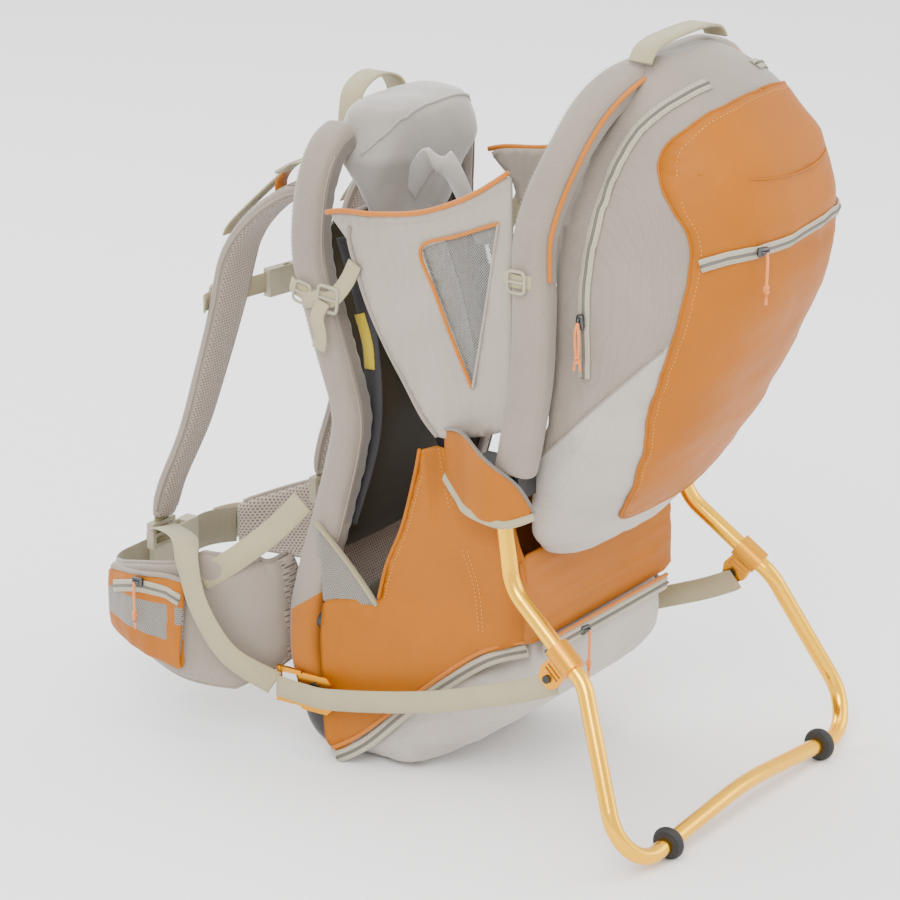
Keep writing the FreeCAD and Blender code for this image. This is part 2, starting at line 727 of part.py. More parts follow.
def build():
    os.makedirs("parts", exist_ok=True)

    frame = front_frame_tube()
    guard = corner_guard(frame)
    sleeve = side_sleeve(frame, guard)
    hoop = rear_hoop_tube()
    rail = side_rail()
    clamp = rail_clamp(frame, rail)
    pin = hinge_pin()
    bracket = hinge_bracket(hoop, rail, pin)
    brackets = Part.makeCompound([bracket, mirrored(bracket)])
    hoop_sleeve = rear_hoop_sleeve(hoop, brackets)
    splice = frame_splice(frame)

    save("front_frame_tube", frame)
    save("frame_splice", splice)
    save("rear_hoop_tube", hoop)
    both_sides("side_rail", rail)
    both_sides("hinge_bracket", bracket)
    save("rail_clamps", Part.makeCompound([clamp, mirrored(clamp)]))
    save("hinge_pins", Part.makeCompound([pin, mirrored(pin)]))
    both_sides("corner_guard", guard)
    both_sides("frame_sleeve", sleeve.cut(clamp).cut(rail))
    save("rear_hoop_sleeve", hoop_sleeve)

    stand = kickstand_tube()
    rivet = clamp_rivet(stand)
    save("kickstand_tube", stand)
    both_sides("stand_clamp", stand_clamp(stand, rivet))
    save("clamp_rivets", Part.makeCompound([rivet, mirrored(rivet)]))
    both_sides("stand_foot", stand_foot(stand))

    screws = guide_screw_pair()
    guide = strap_guide(screws).cut(sleeve)
    both_sides("strap_guide", guide)
    save("guide_screws", Part.makeCompound([screws, mirrored(screws)]).cut(sleeve).cut(mirrored(sleeve)))

    solid_sleeves = [sleeve, mirrored(sleeve), frame, guard, mirrored(guard), splice]
    seat_frame = [rail, mirrored(rail), clamp, mirrored(clamp), brackets]
    board = base_board()
    save("base_board", board)
    save("storage_bag", storage_bag(solid_sleeves + seat_frame + [board]))
    save("seat_bucket", seat_bucket(solid_sleeves + seat_frame))

    panel = side_panel([sleeve, frame, hoop_sleeve, hoop, clamp, rail, bracket])
    both_sides("cockpit_panel", panel)
    mesh = window_mesh()
    save("window_meshes", Part.makeCompound([mesh, mirrored(mesh)]))
    save("harness_straps", harness_straps())
    save("harness_buckle", harness_buckle())

    body, pocket = daypack([hoop_sleeve, hoop, brackets])
    save("daypack_body", body)
    save("daypack_pocket", pocket)

    panel_back = back_panel()
    save("back_panel", panel_back)
    save("lumbar_pad", lumbar_pad())
    wing = hip_wing()
    both_sides("hip_wing", wing)
    save("hip_pocket", hip_pocket(wing))
    buckle = Buckle(42, 50, 14)
    right_webbing = mirrored(hip_webbing(-buckle.length * 0.9))
    hip_centre = V(0, BELT_FRONT_Y - buckle.rise, BELT_Z)
    save("hip_webbing_left", hip_webbing(-8.0))
    save("hip_webbing_right", right_webbing)
    local_webbing = placed(right_webbing, 0, hip_centre * -1)
    save("hip_buckle_socket", placed(buckle.socket(local_webbing), 0, hip_centre))
    save("hip_buckle_plug", placed(buckle.plug(BELT_WEBBING), 0, hip_centre))

    shoulders = {name: shoulder_strap(s) for name, s in SIDES.items()}
    wings = {"left": wing, "right": mirrored(wing)}
    locks = Part.makeCompound([strap_lock(s) for s in (-1, 1)])
    save("strap_locks", locks)
    for name, s in SIDES.items():
        save("shoulder_strap_" + name, shoulders[name])
        save("belt_strap_" + name, belt_strap(s).cut(wings[name]).cut(locks))

    chest = Buckle(26, 28, 9)
    turn, middle = sternum_place()
    back_off = FreeCAD.Rotation(V(0, 0, 1), turn).multVec(V(0, chest.rise, 0))
    webbings, keepers = sternum_straps(shoulders["left"], shoulders["right"], chest)
    save("sternum_straps", Part.makeCompound(webbings + keepers))
    local_webbing = webbings[1].copy()
    local_webbing.translate(back_off - middle)
    local_webbing.rotate(V(0, 0, 0), V(0, 0, 1), -turn)
    save("sternum_buckle_socket", placed(chest.socket(local_webbing), turn, middle - back_off))
    save("sternum_buckle_plug", placed(chest.plug(NARROW_WEBBING), turn, middle - back_off))

    for name, (position, along, out) in ZIP_SLIDERS.items():
        save(name, zip_slider(position, along, out))
    save("load_lifters", Part.makeCompound([load_lifter(s) for s in (-1, 1)]))
    both_sides("stand_strap", stand_strap())
    pad = head_pad(frame).cut(panel_back)
    save("head_pad", pad)
    save("haul_handle", haul_handle().cut(pad).cut(frame))
    save("daypack_handle", daypack_handle())


build()
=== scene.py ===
import math
import bpy
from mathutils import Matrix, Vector, noise
from mathutils.bvhtree import BVHTree
from mathutils.geometry import delaunay_2d_cdt


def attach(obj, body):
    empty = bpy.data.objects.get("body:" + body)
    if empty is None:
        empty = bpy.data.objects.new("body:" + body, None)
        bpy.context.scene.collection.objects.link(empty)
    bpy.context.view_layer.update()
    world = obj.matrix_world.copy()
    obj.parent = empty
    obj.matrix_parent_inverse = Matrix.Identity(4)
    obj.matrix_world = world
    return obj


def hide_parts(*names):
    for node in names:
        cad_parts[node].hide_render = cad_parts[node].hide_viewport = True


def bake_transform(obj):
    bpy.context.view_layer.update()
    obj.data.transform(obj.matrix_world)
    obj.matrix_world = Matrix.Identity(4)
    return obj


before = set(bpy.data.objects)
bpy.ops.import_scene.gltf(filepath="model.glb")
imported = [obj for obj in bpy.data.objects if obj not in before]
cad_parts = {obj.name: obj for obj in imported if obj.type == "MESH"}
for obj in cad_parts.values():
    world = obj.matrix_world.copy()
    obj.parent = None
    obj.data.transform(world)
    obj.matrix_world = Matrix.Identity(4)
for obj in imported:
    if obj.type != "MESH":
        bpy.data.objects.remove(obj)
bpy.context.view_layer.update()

MM = 0.001
SHIFT_Y = 34.0     # the layout's Y zero to the row frame's origin, millimetres
CARRIER = "carrier"
SIDES = ((-1, "left"), (1, "right"))


def P(x, y, z):
    """A point of the layout, in millimetres, as a vector of the row frame, in metres."""
    return Vector((x * MM, (y + SHIFT_Y) * MM, z * MM))


# ---------- materials ----------

class Shader:
    """A small builder for node materials."""

    def __init__(self, name):
        self.material = bpy.data.materials.new(name)
        self.material.use_nodes = True
        self.tree = self.material.node_tree
        self.bsdf = self.tree.nodes["Principled BSDF"]
        self.coords = self.node("ShaderNodeTexCoord").outputs["Object"]

    def node(self, kind, **settings):
        made = self.tree.nodes.new(kind)
        for key, value in settings.items():
            setattr(made, key, value)
        return made

    def link(self, source, target):
        self.tree.links.new(source, target)

    def set(self, **values):
        for key, value in values.items():
            self.bsdf.inputs[key.replace("_", " ")].default_value = value

    def math(self, operation, a, b=None):
        made = self.node("ShaderNodeMath", operation=operation)
        for index, value in enumerate((a, b)):
            if value is None:
                continue
            if isinstance(value, (int, float)):
                made.inputs[index].default_value = value
            else:
                self.link(value, made.inputs[index])
        return made.outputs[0]

    def noise(self, scale, detail=3.0, coords=None):
        made = self.node("ShaderNodeTexNoise")
        made.inputs["Scale"].default_value = scale
        made.inputs["Detail"].default_value = detail
        self.link(coords or self.coords, made.inputs["Vector"])
        return made.outputs["Fac"]

    def bands(self, direction, period, coords=None):
        made = self.node("ShaderNodeTexWave", bands_direction=direction)
        made.inputs["Scale"].default_value = 0.314 / period
        made.inputs["Distortion"].default_value = 0.0
        self.link(coords or self.coords, made.inputs["Vector"])
        return made.outputs["Fac"]

    def ramp(self, value, stops):
        made = self.node("ShaderNodeValToRGB")
        made.color_ramp.elements[0].position = stops[0][0]
        made.color_ramp.elements[0].color = (*stops[0][1], 1)
        made.color_ramp.elements[1].position = stops[1][0]
        made.color_ramp.elements[1].color = (*stops[1][1], 1)
        for position, color in stops[2:]:
            made.color_ramp.elements.new(position).color = (*color, 1)
        self.link(value, made.inputs["Fac"])
        return made.outputs["Color"]

    def bump(self, height, strength, distance):
        made = self.node("ShaderNodeBump")
        made.inputs["Strength"].default_value = strength
        made.inputs["Distance"].default_value = distance
        self.link(height, made.inputs["Height"])
        self.link(made.outputs["Normal"], self.bsdf.inputs["Normal"])

    def color(self, source):
        self.link(source, self.bsdf.inputs["Base Color"])

    def roughness(self, value, low, high):
        made = self.node("ShaderNodeMapRange")
        made.inputs["To Min"].default_value = low
        made.inputs["To Max"].default_value = high
        self.link(value, made.inputs["Value"])
        self.link(made.outputs["Result"], self.bsdf.inputs["Roughness"])


def shade(color, factor):
    return tuple(min(1.0, c * factor) for c in color)


def woven(name, color, period=0.0016, depth=0.00035, gloss=0.62, sheen=0.25, grid=0.0, other=None, plane=None):
    """Plain-woven cloth: crossed threads, slow colour variation and, with a grid, ripstop lines.

    With `other`, that colour takes over where a y + b z is under c, for plane = (a, b, c) in metres."""
    s = Shader(name)
    threads = s.math("ADD", s.math("ADD", s.bands("X", period), s.bands("Y", period)), s.bands("Z", period))
    threads = s.math("MULTIPLY", threads, 0.333)
    cloudy = s.noise(14.0)
    fine = s.noise(420.0, 2.0)
    mixed = s.math("ADD", s.math("MULTIPLY", threads, 0.16), s.math("MULTIPLY", cloudy, 0.55))
    mixed = s.math("ADD", mixed, s.math("MULTIPLY", fine, 0.25))
    if grid:
        lines = s.math("MAXIMUM", s.bands("X", grid), s.math("MAXIMUM", s.bands("Y", grid), s.bands("Z", grid)))
        lines = s.math("POWER", lines, 12.0)
        mixed = s.math("SUBTRACT", mixed, s.math("MULTIPLY", lines, 0.10))
    base = s.ramp(mixed, [(0.25, shade(color, 0.84)), (0.75, shade(color, 1.12))])
    if other:
        split = s.node("ShaderNodeSeparateXYZ")
        s.link(s.coords, split.inputs[0])
        value = s.math("ADD", s.math("MULTIPLY", split.outputs["Y"], plane[0]),
                       s.math("MULTIPLY", split.outputs["Z"], plane[1]))
        mix = s.node("ShaderNodeMix", data_type="RGBA")
        s.link(s.math("LESS_THAN", value, plane[2]), mix.inputs["Factor"])
        s.link(base, mix.inputs["A"])
        s.link(s.ramp(mixed, [(0.25, shade(other, 0.84)), (0.75, shade(other, 1.12))]), mix.inputs["B"])
        base = mix.outputs["Result"]
    s.color(base)
    s.roughness(fine, gloss - 0.06, gloss + 0.14)
    s.set(Sheen_Weight=sheen, Sheen_Roughness=0.5, Specular_IOR_Level=0.22)
    s.bump(s.math("ADD", s.math("MULTIPLY", threads, 0.4), fine), 0.45, depth)
    return s.material


def hex_mesh(name, color, hole, pitch=0.0036, axes=("X", "Z")):
    """Knitted spacer mesh: rows of round holes, every second row set half a pitch over."""
    s = Shader(name)
    split = s.node("ShaderNodeSeparateXYZ")
    s.link(s.coords, split.inputs[0])
    u = s.math("MULTIPLY", split.outputs[axes[0]], 1 / pitch)
    v = s.math("MULTIPLY", split.outputs[axes[1]], 1 / (pitch * 1.732))
    distance = None
    for offset in (0.0, 0.5):
        du = s.math("SUBTRACT", s.math("FRACT", s.math("ADD", u, offset)), 0.5)
        dv = s.math("MULTIPLY", s.math("SUBTRACT", s.math("FRACT", s.math("ADD", v, offset)), 0.5), 1.732)
        length = s.math("SQRT", s.math("ADD", s.math("MULTIPLY", du, du), s.math("MULTIPLY", dv, dv)))
        distance = length if distance is None else s.math("MINIMUM", distance, length)
    s.color(s.ramp(distance, [(0.20, hole), (0.36, color)]))
    s.roughness(s.noise(300.0), 0.75, 0.92)
    s.set(Sheen_Weight=0.25)
    s.bump(distance, 0.8, 0.0012)
    return s.material


def webbing_material(name, color):
    """Webbing with fine ribs; U runs across and V along the strap, in metres."""
    s = Shader(name)
    uv = s.node("ShaderNodeTexCoord").outputs["UV"]
    ribs = s.math("ADD", s.bands("Y", 0.0013, uv), s.math("MULTIPLY", s.bands("DIAGONAL", 0.0017, uv), 0.8))
    cloudy = s.noise(25.0)
    mixed = s.math("ADD", s.math("MULTIPLY", ribs, 0.28), s.math("MULTIPLY", cloudy, 0.5))
    s.color(s.ramp(mixed, [(0.2, shade(color, 0.82)), (0.8, shade(color, 1.1))]))
    s.roughness(cloudy, 0.55, 0.75)
    s.set(Sheen_Weight=0.2)
    s.bump(ribs, 0.5, 0.0004)
    return s.material


def plastic(name, color, gloss=0.42):
    s = Shader(name)
    grain = s.noise(900.0, 2.0)
    worn = s.noise(30.0, 4.0)
    s.color(s.ramp(worn, [(0.3, shade(color, 0.88)), (0.75, shade(color, 1.1))]))
    s.roughness(worn, gloss - 0.05, gloss + 0.15)
    s.bump(grain, 0.25, 0.0002)
    return s.material


def anodised(name, color, gloss=0.2):
    """Satin anodised aluminium with a drawn surface and slight tone changes."""
    s = Shader(name)
    stretch = s.node("ShaderNodeMapping")
    stretch.inputs["Scale"].default_value = (1.0, 1.0, 0.08)
    s.link(s.coords, stretch.inputs["Vector"])
    drawn = s.noise(600.0, 2.0, stretch.outputs["Vector"])
    tone = s.noise(9.0, 3.0)
    s.color(s.ramp(tone, [(0.3, shade(color, 0.86)), (0.7, shade(color, 1.06))]))
    s.roughness(drawn, gloss, gloss + 0.12)
    s.set(Metallic=1.0)
    s.bump(drawn, 0.06, 0.0001)
    return s.material


def net_material(name, color, pitch=0.0030):
    """Open net: threads round see-through holes."""
    s = Shader(name)
    split = s.node("ShaderNodeSeparateXYZ")
    s.link(s.coords, split.inputs[0])
    lines = None
    for slope in (1.0, -1.0):
        u = s.math("ADD", split.outputs["Y"], s.math("MULTIPLY", split.outputs["Z"], slope))
        cell = s.math("ABSOLUTE", s.math("SUBTRACT", s.math("FRACT", s.math("MULTIPLY", u, 1 / pitch)), 0.5))
        lines = cell if lines is None else s.math("MAXIMUM", lines, cell)
    solid = s.math("GREATER_THAN", lines, 0.34)
    s.link(solid, s.bsdf.inputs["Alpha"])
    s.color(s.ramp(s.noise(200.0), [(0.2, shade(color, 0.8)), (0.8, shade(color, 1.2))]))
    s.set(Roughness=0.6)
    return s.material


ORANGE = (0.36, 0.105, 0.0)
GREY = (0.265, 0.222, 0.18)
PALE = (0.42, 0.375, 0.33)
TAUPE = (0.15, 0.125, 0.10)
SLEEVE = (0.255, 0.212, 0.17)
KHAKI = (0.36, 0.31, 0.175)

M = {
    "orange": woven("orange_cloth", ORANGE, 0.0012, 0.0002, 0.50, 0.0),
    "grey": woven("grey_ripstop", GREY, 0.0016, 0.0003, 0.50, 0.2, 0.0032),
    "pale": woven("pale_ripstop", PALE, 0.0014, 0.0003, 0.48, 0.2, 0.0040),
    "pack": woven("daypack_cloth", GREY, 0.0016, 0.0003, 0.50, 0.2, 0.0032, PALE, (1.0, 1.0, 0.190)),
    "taupe": woven("taupe_cloth", TAUPE, 0.0018, 0.0004, 0.60, 0.3),
    "lining": woven("dark_lining", (0.045, 0.036, 0.018), 0.0016, 0.0003, 0.6, 0.1),
    "fleece": woven("soft_grey_cloth", (0.30, 0.27, 0.235), 0.0009, 0.0002, 0.8, 0.6),
    "sleeve": woven("sleeve_cloth", SLEEVE, 0.0016, 0.0003, 0.55, 0.2),
    "front_sleeve": woven("front_sleeve_cloth", SLEEVE, 0.0016, 0.0003, 0.55, 0.2, 0.0, ORANGE, (0.7, 1.0, 0.2305)),
    "mesh": hex_mesh("beige_mesh", (0.36, 0.295, 0.24), (0.11, 0.085, 0.07)),
    "mesh_side": hex_mesh("beige_mesh_side", (0.36, 0.295, 0.24), (0.11, 0.085, 0.07), axes=("Y", "Z")),
    "mesh_grey": hex_mesh("grey_mesh", (0.22, 0.20, 0.165), (0.07, 0.06, 0.05), 0.0026, ("Y", "Z")),
    "panel": woven("panel_cloth", (0.33, 0.285, 0.235), 0.0014, 0.0003, 0.5, 0.25),
    "webbing": webbing_material("khaki_webbing", KHAKI),
    "dark_webbing": webbing_material("black_webbing", (0.018, 0.015, 0.018)),
    # Khaki webbing darkened to about half: painted shade, for the hip band that lies in shadow.
    "painted_shade_webbing": webbing_material("painted_shade_webbing", (0.19, 0.165, 0.10)),
    "net": net_material("window_net", (0.22, 0.21, 0.19)),
    "piping": woven("orange_piping", (0.46, 0.135, 0.002), 0.0011, 0.0002, 0.55, 0.2),
    "cord": woven("orange_cord", (0.75, 0.22, 0.04), 0.0011, 0.0004, 0.6, 0.3),
    "tape": woven("zip_tape", (0.40, 0.36, 0.27), 0.0011, 0.0003, 0.6, 0.2),
    "coil": woven("zip_coil", (0.13, 0.12, 0.10), 0.0012, 0.0006, 0.45, 0.0),
    "thread": woven("sewing_thread", (0.36, 0.30, 0.22), 0.0008, 0.0001, 0.6, 0.2),
    "thread_orange": woven("orange_thread", (0.78, 0.42, 0.08), 0.0008, 0.0001, 0.6, 0.2),
    "buckle": plastic("khaki_plastic", (0.33, 0.30, 0.21)),
    "black": plastic("black_plastic", (0.012, 0.012, 0.012), 0.38),
    "rubber": plastic("black_rubber", (0.014, 0.014, 0.014), 0.62),
    "yellow": woven("yellow_tab", (0.45, 0.33, 0.02), 0.0014, 0.0003),
    "gold": anodised("gold_anodised", (0.98, 0.50, 0.022), 0.17),
    "paint": anodised("orange_anodised", (0.70, 0.30, 0.015), 0.32),
    "steel": anodised("dark_steel", (0.10, 0.10, 0.10), 0.3),
    "pin": anodised("bright_metal", (0.72, 0.72, 0.70), 0.25),
}


# ---------- mesh helpers ----------

def smooth_faces(mesh):
    for face in mesh.polygons:
        face.use_smooth = True


def mesh_object(name, verts, faces, material, uvs=None):
    mesh = bpy.data.meshes.new(name)
    mesh.from_pydata([tuple(v) for v in verts], [], faces)
    mesh.materials.append(material)
    if uvs:
        layer = mesh.uv_layers.new(name="UVMap")
        for loop in mesh.loops:
            layer.data[loop.index].uv = uvs[loop.vertex_index]
    smooth_faces(mesh)
    obj = bpy.data.objects.new(name, mesh)
    bpy.context.scene.collection.objects.link(obj)
    return obj


def settle(obj, slot, *nodes, body=CARRIER, fill=None):
    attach(obj, body)
    if nodes:
        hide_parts(*nodes)
    return obj


def smooth_line(points, count, closed=False):
    """Evenly spaced points on a Catmull-Rom curve through the given points."""
    pts = [Vector(p) for p in points]
    size = len(pts)
    fine = []
    spans = size if closed else size - 1
    for i in range(spans):
        a, b, c, d = (pts[(i + k) % size] if closed else pts[min(max(i + k, 0), size - 1)]
                      for k in (-1, 0, 1, 2))
        for step in range(16):
            t = step / 16
            fine.append(0.5 * ((2 * b) + (c - a) * t + (2 * a - 5 * b + 4 * c - d) * t * t
                               + (3 * b - a - 3 * c + d) * t ** 3))
    fine.append(pts[0].copy() if closed else pts[-1].copy())
    lengths = [0.0]
    for p, q in zip(fine, fine[1:]):
        lengths.append(lengths[-1] + (q - p).length)
    result = []
    k = 0
    for i in range(count):
        goal = lengths[-1] * i / (count if closed else count - 1)
        while k < len(lengths) - 2 and lengths[k + 1] < goal:
            k += 1
        span = lengths[k + 1] - lengths[k]
        result.append(fine[k].lerp(fine[k + 1], (goal - lengths[k]) / span if span else 0))
    return result


def tangents(points, closed=False):
    size = len(points)
    result = []
    for i in range(size):
        a = points[(i - 1) % size] if closed else points[max(i - 1, 0)]
        b = points[(i + 1) % size] if closed else points[min(i + 1, size - 1)]
        result.append((b - a).normalized())
    return result


def skin_rings(name, rings, material, closed=False):
    """A skin of quads over rings of points, capped at its ends unless closed; U runs round, V along, in metres."""
    count = len(rings[0])
    verts = [p for ring in rings for p in ring]
    uvs = []
    along = 0.0
    for i, ring in enumerate(rings):
        if i:
            along += (ring[0] - rings[i - 1][0]).length
        around = 0.0
        for j, p in enumerate(ring):
            if j:
                around += (p - ring[j - 1]).length
            uvs.append((around, along))
    faces = []
    for i in range(len(rings) if closed else len(rings) - 1):
        k = (i + 1) % len(rings)
        for j in range(count):
            n = (j + 1) % count
            faces.append((i * count + j, i * count + n, k * count + n, k * count + j))
    if not closed:
        faces.append(tuple(range(count))[::-1])
        faces.append(tuple((len(rings) - 1) * count + j for j in range(count)))
    return mesh_object(name, verts, faces, material, uvs)


def angles(count):
    return [2 * math.pi * k / count for k in range(count)]


def squared(value, power):
    """A sine or cosine bent towards a square section: the smaller the power, the squarer."""
    return math.copysign(abs(value) ** power, value)


def edge_line(rings, j, lift):
    """The line through point j of each ring, lifted away from the point opposite, in millimetres."""
    return [r[j] + (r[j] - r[(j + len(r) // 2) % len(r)]).normalized() * lift * MM for r in rings]


def rod(name, points, radius, material, sides=8, closed=False):
    """A round cord, bar or piping along points; radius in millimetres."""
    heads = tangents(points, closed)
    side = heads[0].orthogonal().normalized()
    r = radius * MM
    rings = []
    for p, t in zip(points, heads):
        side = (side - t * side.dot(t)).normalized()
        other = t.cross(side)
        rings.append([p + side * math.cos(a) * r + other * math.sin(a) * r for a in angles(sides)])
    return skin_rings(name, rings, material, closed)


def piping(name, points, count, radius, material, slot, sides=8):
    """A piping, seam or hem of the carrier along a smooth line."""
    settle(rod(name, smooth_line(points, count), radius, M[material], sides), slot)


def width_hints(across, count):
    """The width direction at each of `count` points, from one or several given ones."""
    return smooth_line([Vector(a) for a in across], count) if len(across) > 1 else [Vector(across[0])] * count


def strap(name, points, across, width, material, thick=1.7, count=60):
    """Flat webbing along a smooth line; `across` are the width directions at the given points."""
    line = smooth_line(points, count)
    w, t = width * MM / 2, thick * MM / 2
    outline = [(-w, 0), (-w + t * 0.6, -t), (0, -t * 1.05), (w - t * 0.6, -t), (w, 0), (w - t * 0.6, t),
               (0, t * 1.05), (-w + t * 0.6, t)]
    rings = []
    for p, head, hint in zip(line, tangents(line), width_hints(across, count)):
        side = (hint - head * hint.dot(head)).normalized()
        up = head.cross(side)
        rings.append([p + side * u + up * v for u, v in outline])
    return skin_rings(name, rings, material)


def webbing(name, points, across, width, thick=1.7, count=60, material="webbing", slot="khaki_webbing", nodes=()):
    """A strap of the carrier, standing for the given CAD nodes."""
    settle(strap(name, points, across, width, M[material], thick, count), slot, *nodes)


STITCH_SPACING, STITCH_LENGTH, STITCH_RADIUS, STITCH_SIDES = 4.2, 2.9, 0.32, 6     # millimetres, and a count


def stitches(name, points, material="thread"):
    """A row of short raised threads along a line, as one mesh."""
    total = sum((b - a).length for a, b in zip(points, points[1:]))
    count = max(2, int(total / (STITCH_SPACING * MM)))
    line = smooth_line(points, count * 2)
    verts, faces = [], []
    r = STITCH_RADIUS * MM
    for i in range(0, len(line) - 1, 2):
        a, b = line[i], line[i + 1]
        head = (b - a).normalized()
        middle = (a + b) / 2
        side = head.orthogonal().normalized()
        up = head.cross(side)
        half = head * STITCH_LENGTH * MM / 2
        base = len(verts)
        verts.append(middle - half)
        verts += [middle + side * math.cos(a) * r + up * math.sin(a) * r for a in angles(STITCH_SIDES)]
        verts.append(middle + half)
        for k in range(STITCH_SIDES):
            n = (k + 1) % STITCH_SIDES
            faces.append((base, base + 1 + n, base + 1 + k))
            faces.append((base + 1 + STITCH_SIDES, base + 1 + k, base + 1 + n))
    return mesh_object(name, verts, faces, M[material])


def sew(name, points, slot, material="thread"):
    settle(stitches(name, points, material), slot)


def inside(polygon, x, y):
    result = False
    j = len(polygon) - 1
    for i in range(len(polygon)):
        xi, yi = polygon[i]
        xj, yj = polygon[j]
        if (yi > y) != (yj > y) and x < (xj - xi) * (y - yi) / (yj - yi) + xi:
            result = not result
        j = i
    return result


def rounded_outline(corners, radius, spacing=5.0):
    """An outline in a plane with its corners rounded, sampled about every `spacing`."""
    size = len(corners)
    rounded = []
    for i in range(size):
        a, b, c = (Vector(corners[(i + k) % size]).to_2d() for k in (-1, 0, 1))
        reach = min(radius, (a - b).length * 0.45, (c - b).length * 0.45)
        start = b + (a - b).normalized() * reach
        end = b + (c - b).normalized() * reach
        steps = max(2, int(reach * 1.4 / spacing) + 1)
        for k in range(steps + 1):
            t = k / steps
            rounded.append(start * (1 - t) ** 2 + b * 2 * t * (1 - t) + end * t * t)
    result = []
    for i, p in enumerate(rounded):
        q = rounded[(i + 1) % len(rounded)]
        steps = max(1, int((q - p).length / spacing))
        result += [tuple(p.lerp(q, k / steps)) for k in range(steps)]
    return result


def cloth_sheet(name, outline, place, material, holes=(), spacing=6.0, thick=1.6, fold=None):
    """A sheet cut to an outline in a plane and laid in space by `place(u, v)`; a solid of even thickness."""
    loops = [outline, *holes]
    coords, edges = [], []
    for loop in loops:
        base = len(coords)
        coords += [Vector(p) for p in loop]
        edges += [(base + i, base + (i + 1) % len(loop)) for i in range(len(loop))]
    us = [p[0] for p in outline]
    vs = [p[1] for p in outline]
    u = min(us)
    row = 0
    while u < max(us):
        v = min(vs) + (row % 2) * spacing / 2
        while v < max(vs):
            near = any((Vector(p) - Vector((u, v))).length < spacing * 0.55 for loop in loops for p in loop)
            if not near and inside(outline, u, v) and not any(inside(h, u, v) for h in holes):
                coords.append(Vector((u, v)))
            v += spacing
        u += spacing * 0.87
        row += 1
    out, _, tris, *_ = delaunay_2d_cdt(coords, edges, [], 0, 1e-5)
    faces = []
    for tri in tris:
        cu = sum(out[i][0] for i in tri) / len(tri)
        cv = sum(out[i][1] for i in tri) / len(tri)
        if inside(outline, cu, cv) and not any(inside(h, cu, cv) for h in holes):
            faces.append(tuple(tri))
    verts = [place(p[0], p[1]) for p in out]
    if fold:
        verts = [v + fold(v) for v in verts]
    obj = mesh_object(name, verts, faces, material, [(p[0] * MM, p[1] * MM) for p in out])
    solid = obj.modifiers.new("thickness", "SOLIDIFY")
    solid.thickness = thick * MM
    solid.offset = 0.0
    return obj


def bake(obj):
    """Makes the object's modifiers part of its mesh."""
    graph = bpy.context.evaluated_depsgraph_get()
    mesh = bpy.data.meshes.new_from_object(obj.evaluated_get(graph), depsgraph=graph)
    obj.modifiers.clear()
    old = obj.data
    obj.data = mesh
    bpy.data.meshes.remove(old)
    smooth_faces(mesh)
    return obj


STIFFNESS = 12.0


def puff(obj, voxel, pressure, cap, frames):
    """Blow a closed pad up by cloth simulation, holding every point within `cap` of where it began."""
    remesh = obj.modifiers.new("remesh", "REMESH")
    remesh.mode = "VOXEL"
    remesh.voxel_size = voxel * MM * 1.0
    material = obj.data.materials[0]
    bake(obj)
    obj.data.materials.clear()
    obj.data.materials.append(material)
    start = [v.co.copy() for v in obj.data.vertices]
    cloth = obj.modifiers.new("cloth", "CLOTH")
    cloth.settings.quality = 4
    cloth.settings.mass = 0.2
    cloth.settings.use_pressure = True
    cloth.settings.uniform_pressure_force = pressure
    cloth.settings.tension_stiffness = STIFFNESS
    cloth.settings.compression_stiffness = STIFFNESS
    cloth.settings.shear_stiffness = 4.0
    cloth.settings.bending_stiffness = 0.4
    cloth.settings.effector_weights.gravity = 0.0
    cloth.point_cache.frame_start = 1
    cloth.point_cache.frame_end = frames
    scene = bpy.context.scene
    for step in range(1, frames + 1):
        scene.frame_set(step)
    graph = bpy.context.evaluated_depsgraph_get()
    moved = [v.co.copy() for v in obj.evaluated_get(graph).data.vertices]
    obj.modifiers.clear()
    limit = cap * MM
    for v, a, b in zip(obj.data.vertices, start, moved):
        step = b - a
        if step.length > limit:
            step = step.normalized() * limit
        v.co = a + step
    scene.frame_set(1)
    obj.data.update()
    smooth_faces(obj.data)


def wrinkle(obj, height, size, seed=0.0):
    """Shallow folds: moves points along their normals by stretched noise; size is the fold's period on each axis."""
    obj.data.update()
    normals = [v.normal.copy() for v in obj.data.vertices]
    for v, n in zip(obj.data.vertices, normals):
        q = Vector((v.co.x / (size[0] * MM) + seed, v.co.y / (size[1] * MM), v.co.z / (size[2] * MM)))
        value = noise.noise(q) + 0.5 * noise.noise(q * 2.1)
        v.co += n * value * height * MM
    obj.data.update()


def refine(obj):
    smoother = obj.modifiers.new("subdivision", "SUBSURF")
    smoother.levels = smoother.render_levels = 1


def tree_of(obj):
    obj.data.update()
    return BVHTree.FromPolygons([v.co.copy() for v in obj.data.vertices],
                                [tuple(p.vertices) for p in obj.data.polygons])


def cast(tree, origin, direction, lift, fallback):
    """The first point hit along a unit direction, or the one nearest to fallback, lifted towards origin."""
    hit = tree.ray_cast(origin, direction)[0] or tree.find_nearest(fallback)[0]
    return hit - direction * lift * MM


def rest_on(tree, point, lift):
    """The nearest surface point, lifted outwards."""
    hit, normal = tree.find_nearest(point)[:2]
    return hit + normal * lift * MM


def zip_band(name, line, normals, width, lift, heights, radius):
    """A zip's tape, with its low, middle and high edge at the given heights, and its raised coil."""
    low, middle, high = heights
    profile = ((-1, low), (-1, middle), (-0.25, high), (0.25, high), (1, middle), (1, low))
    w = width * MM / 2
    rings = []
    for p, head, n in zip(line, tangents(line), normals):
        across = head.cross(n).normalized()
        rings.append([p + across * u * w + n * (v + lift) * MM for u, v in profile])
    settle(skin_rings(name + "_tape", rings, M["tape"]), "khaki_webbing")
    coil = [p + n * (1.0 + lift) * MM for p, n in zip(line, normals)]
    settle(rod(name + "_coil", coil, radius, M["coil"], 6), "khaki_webbing")


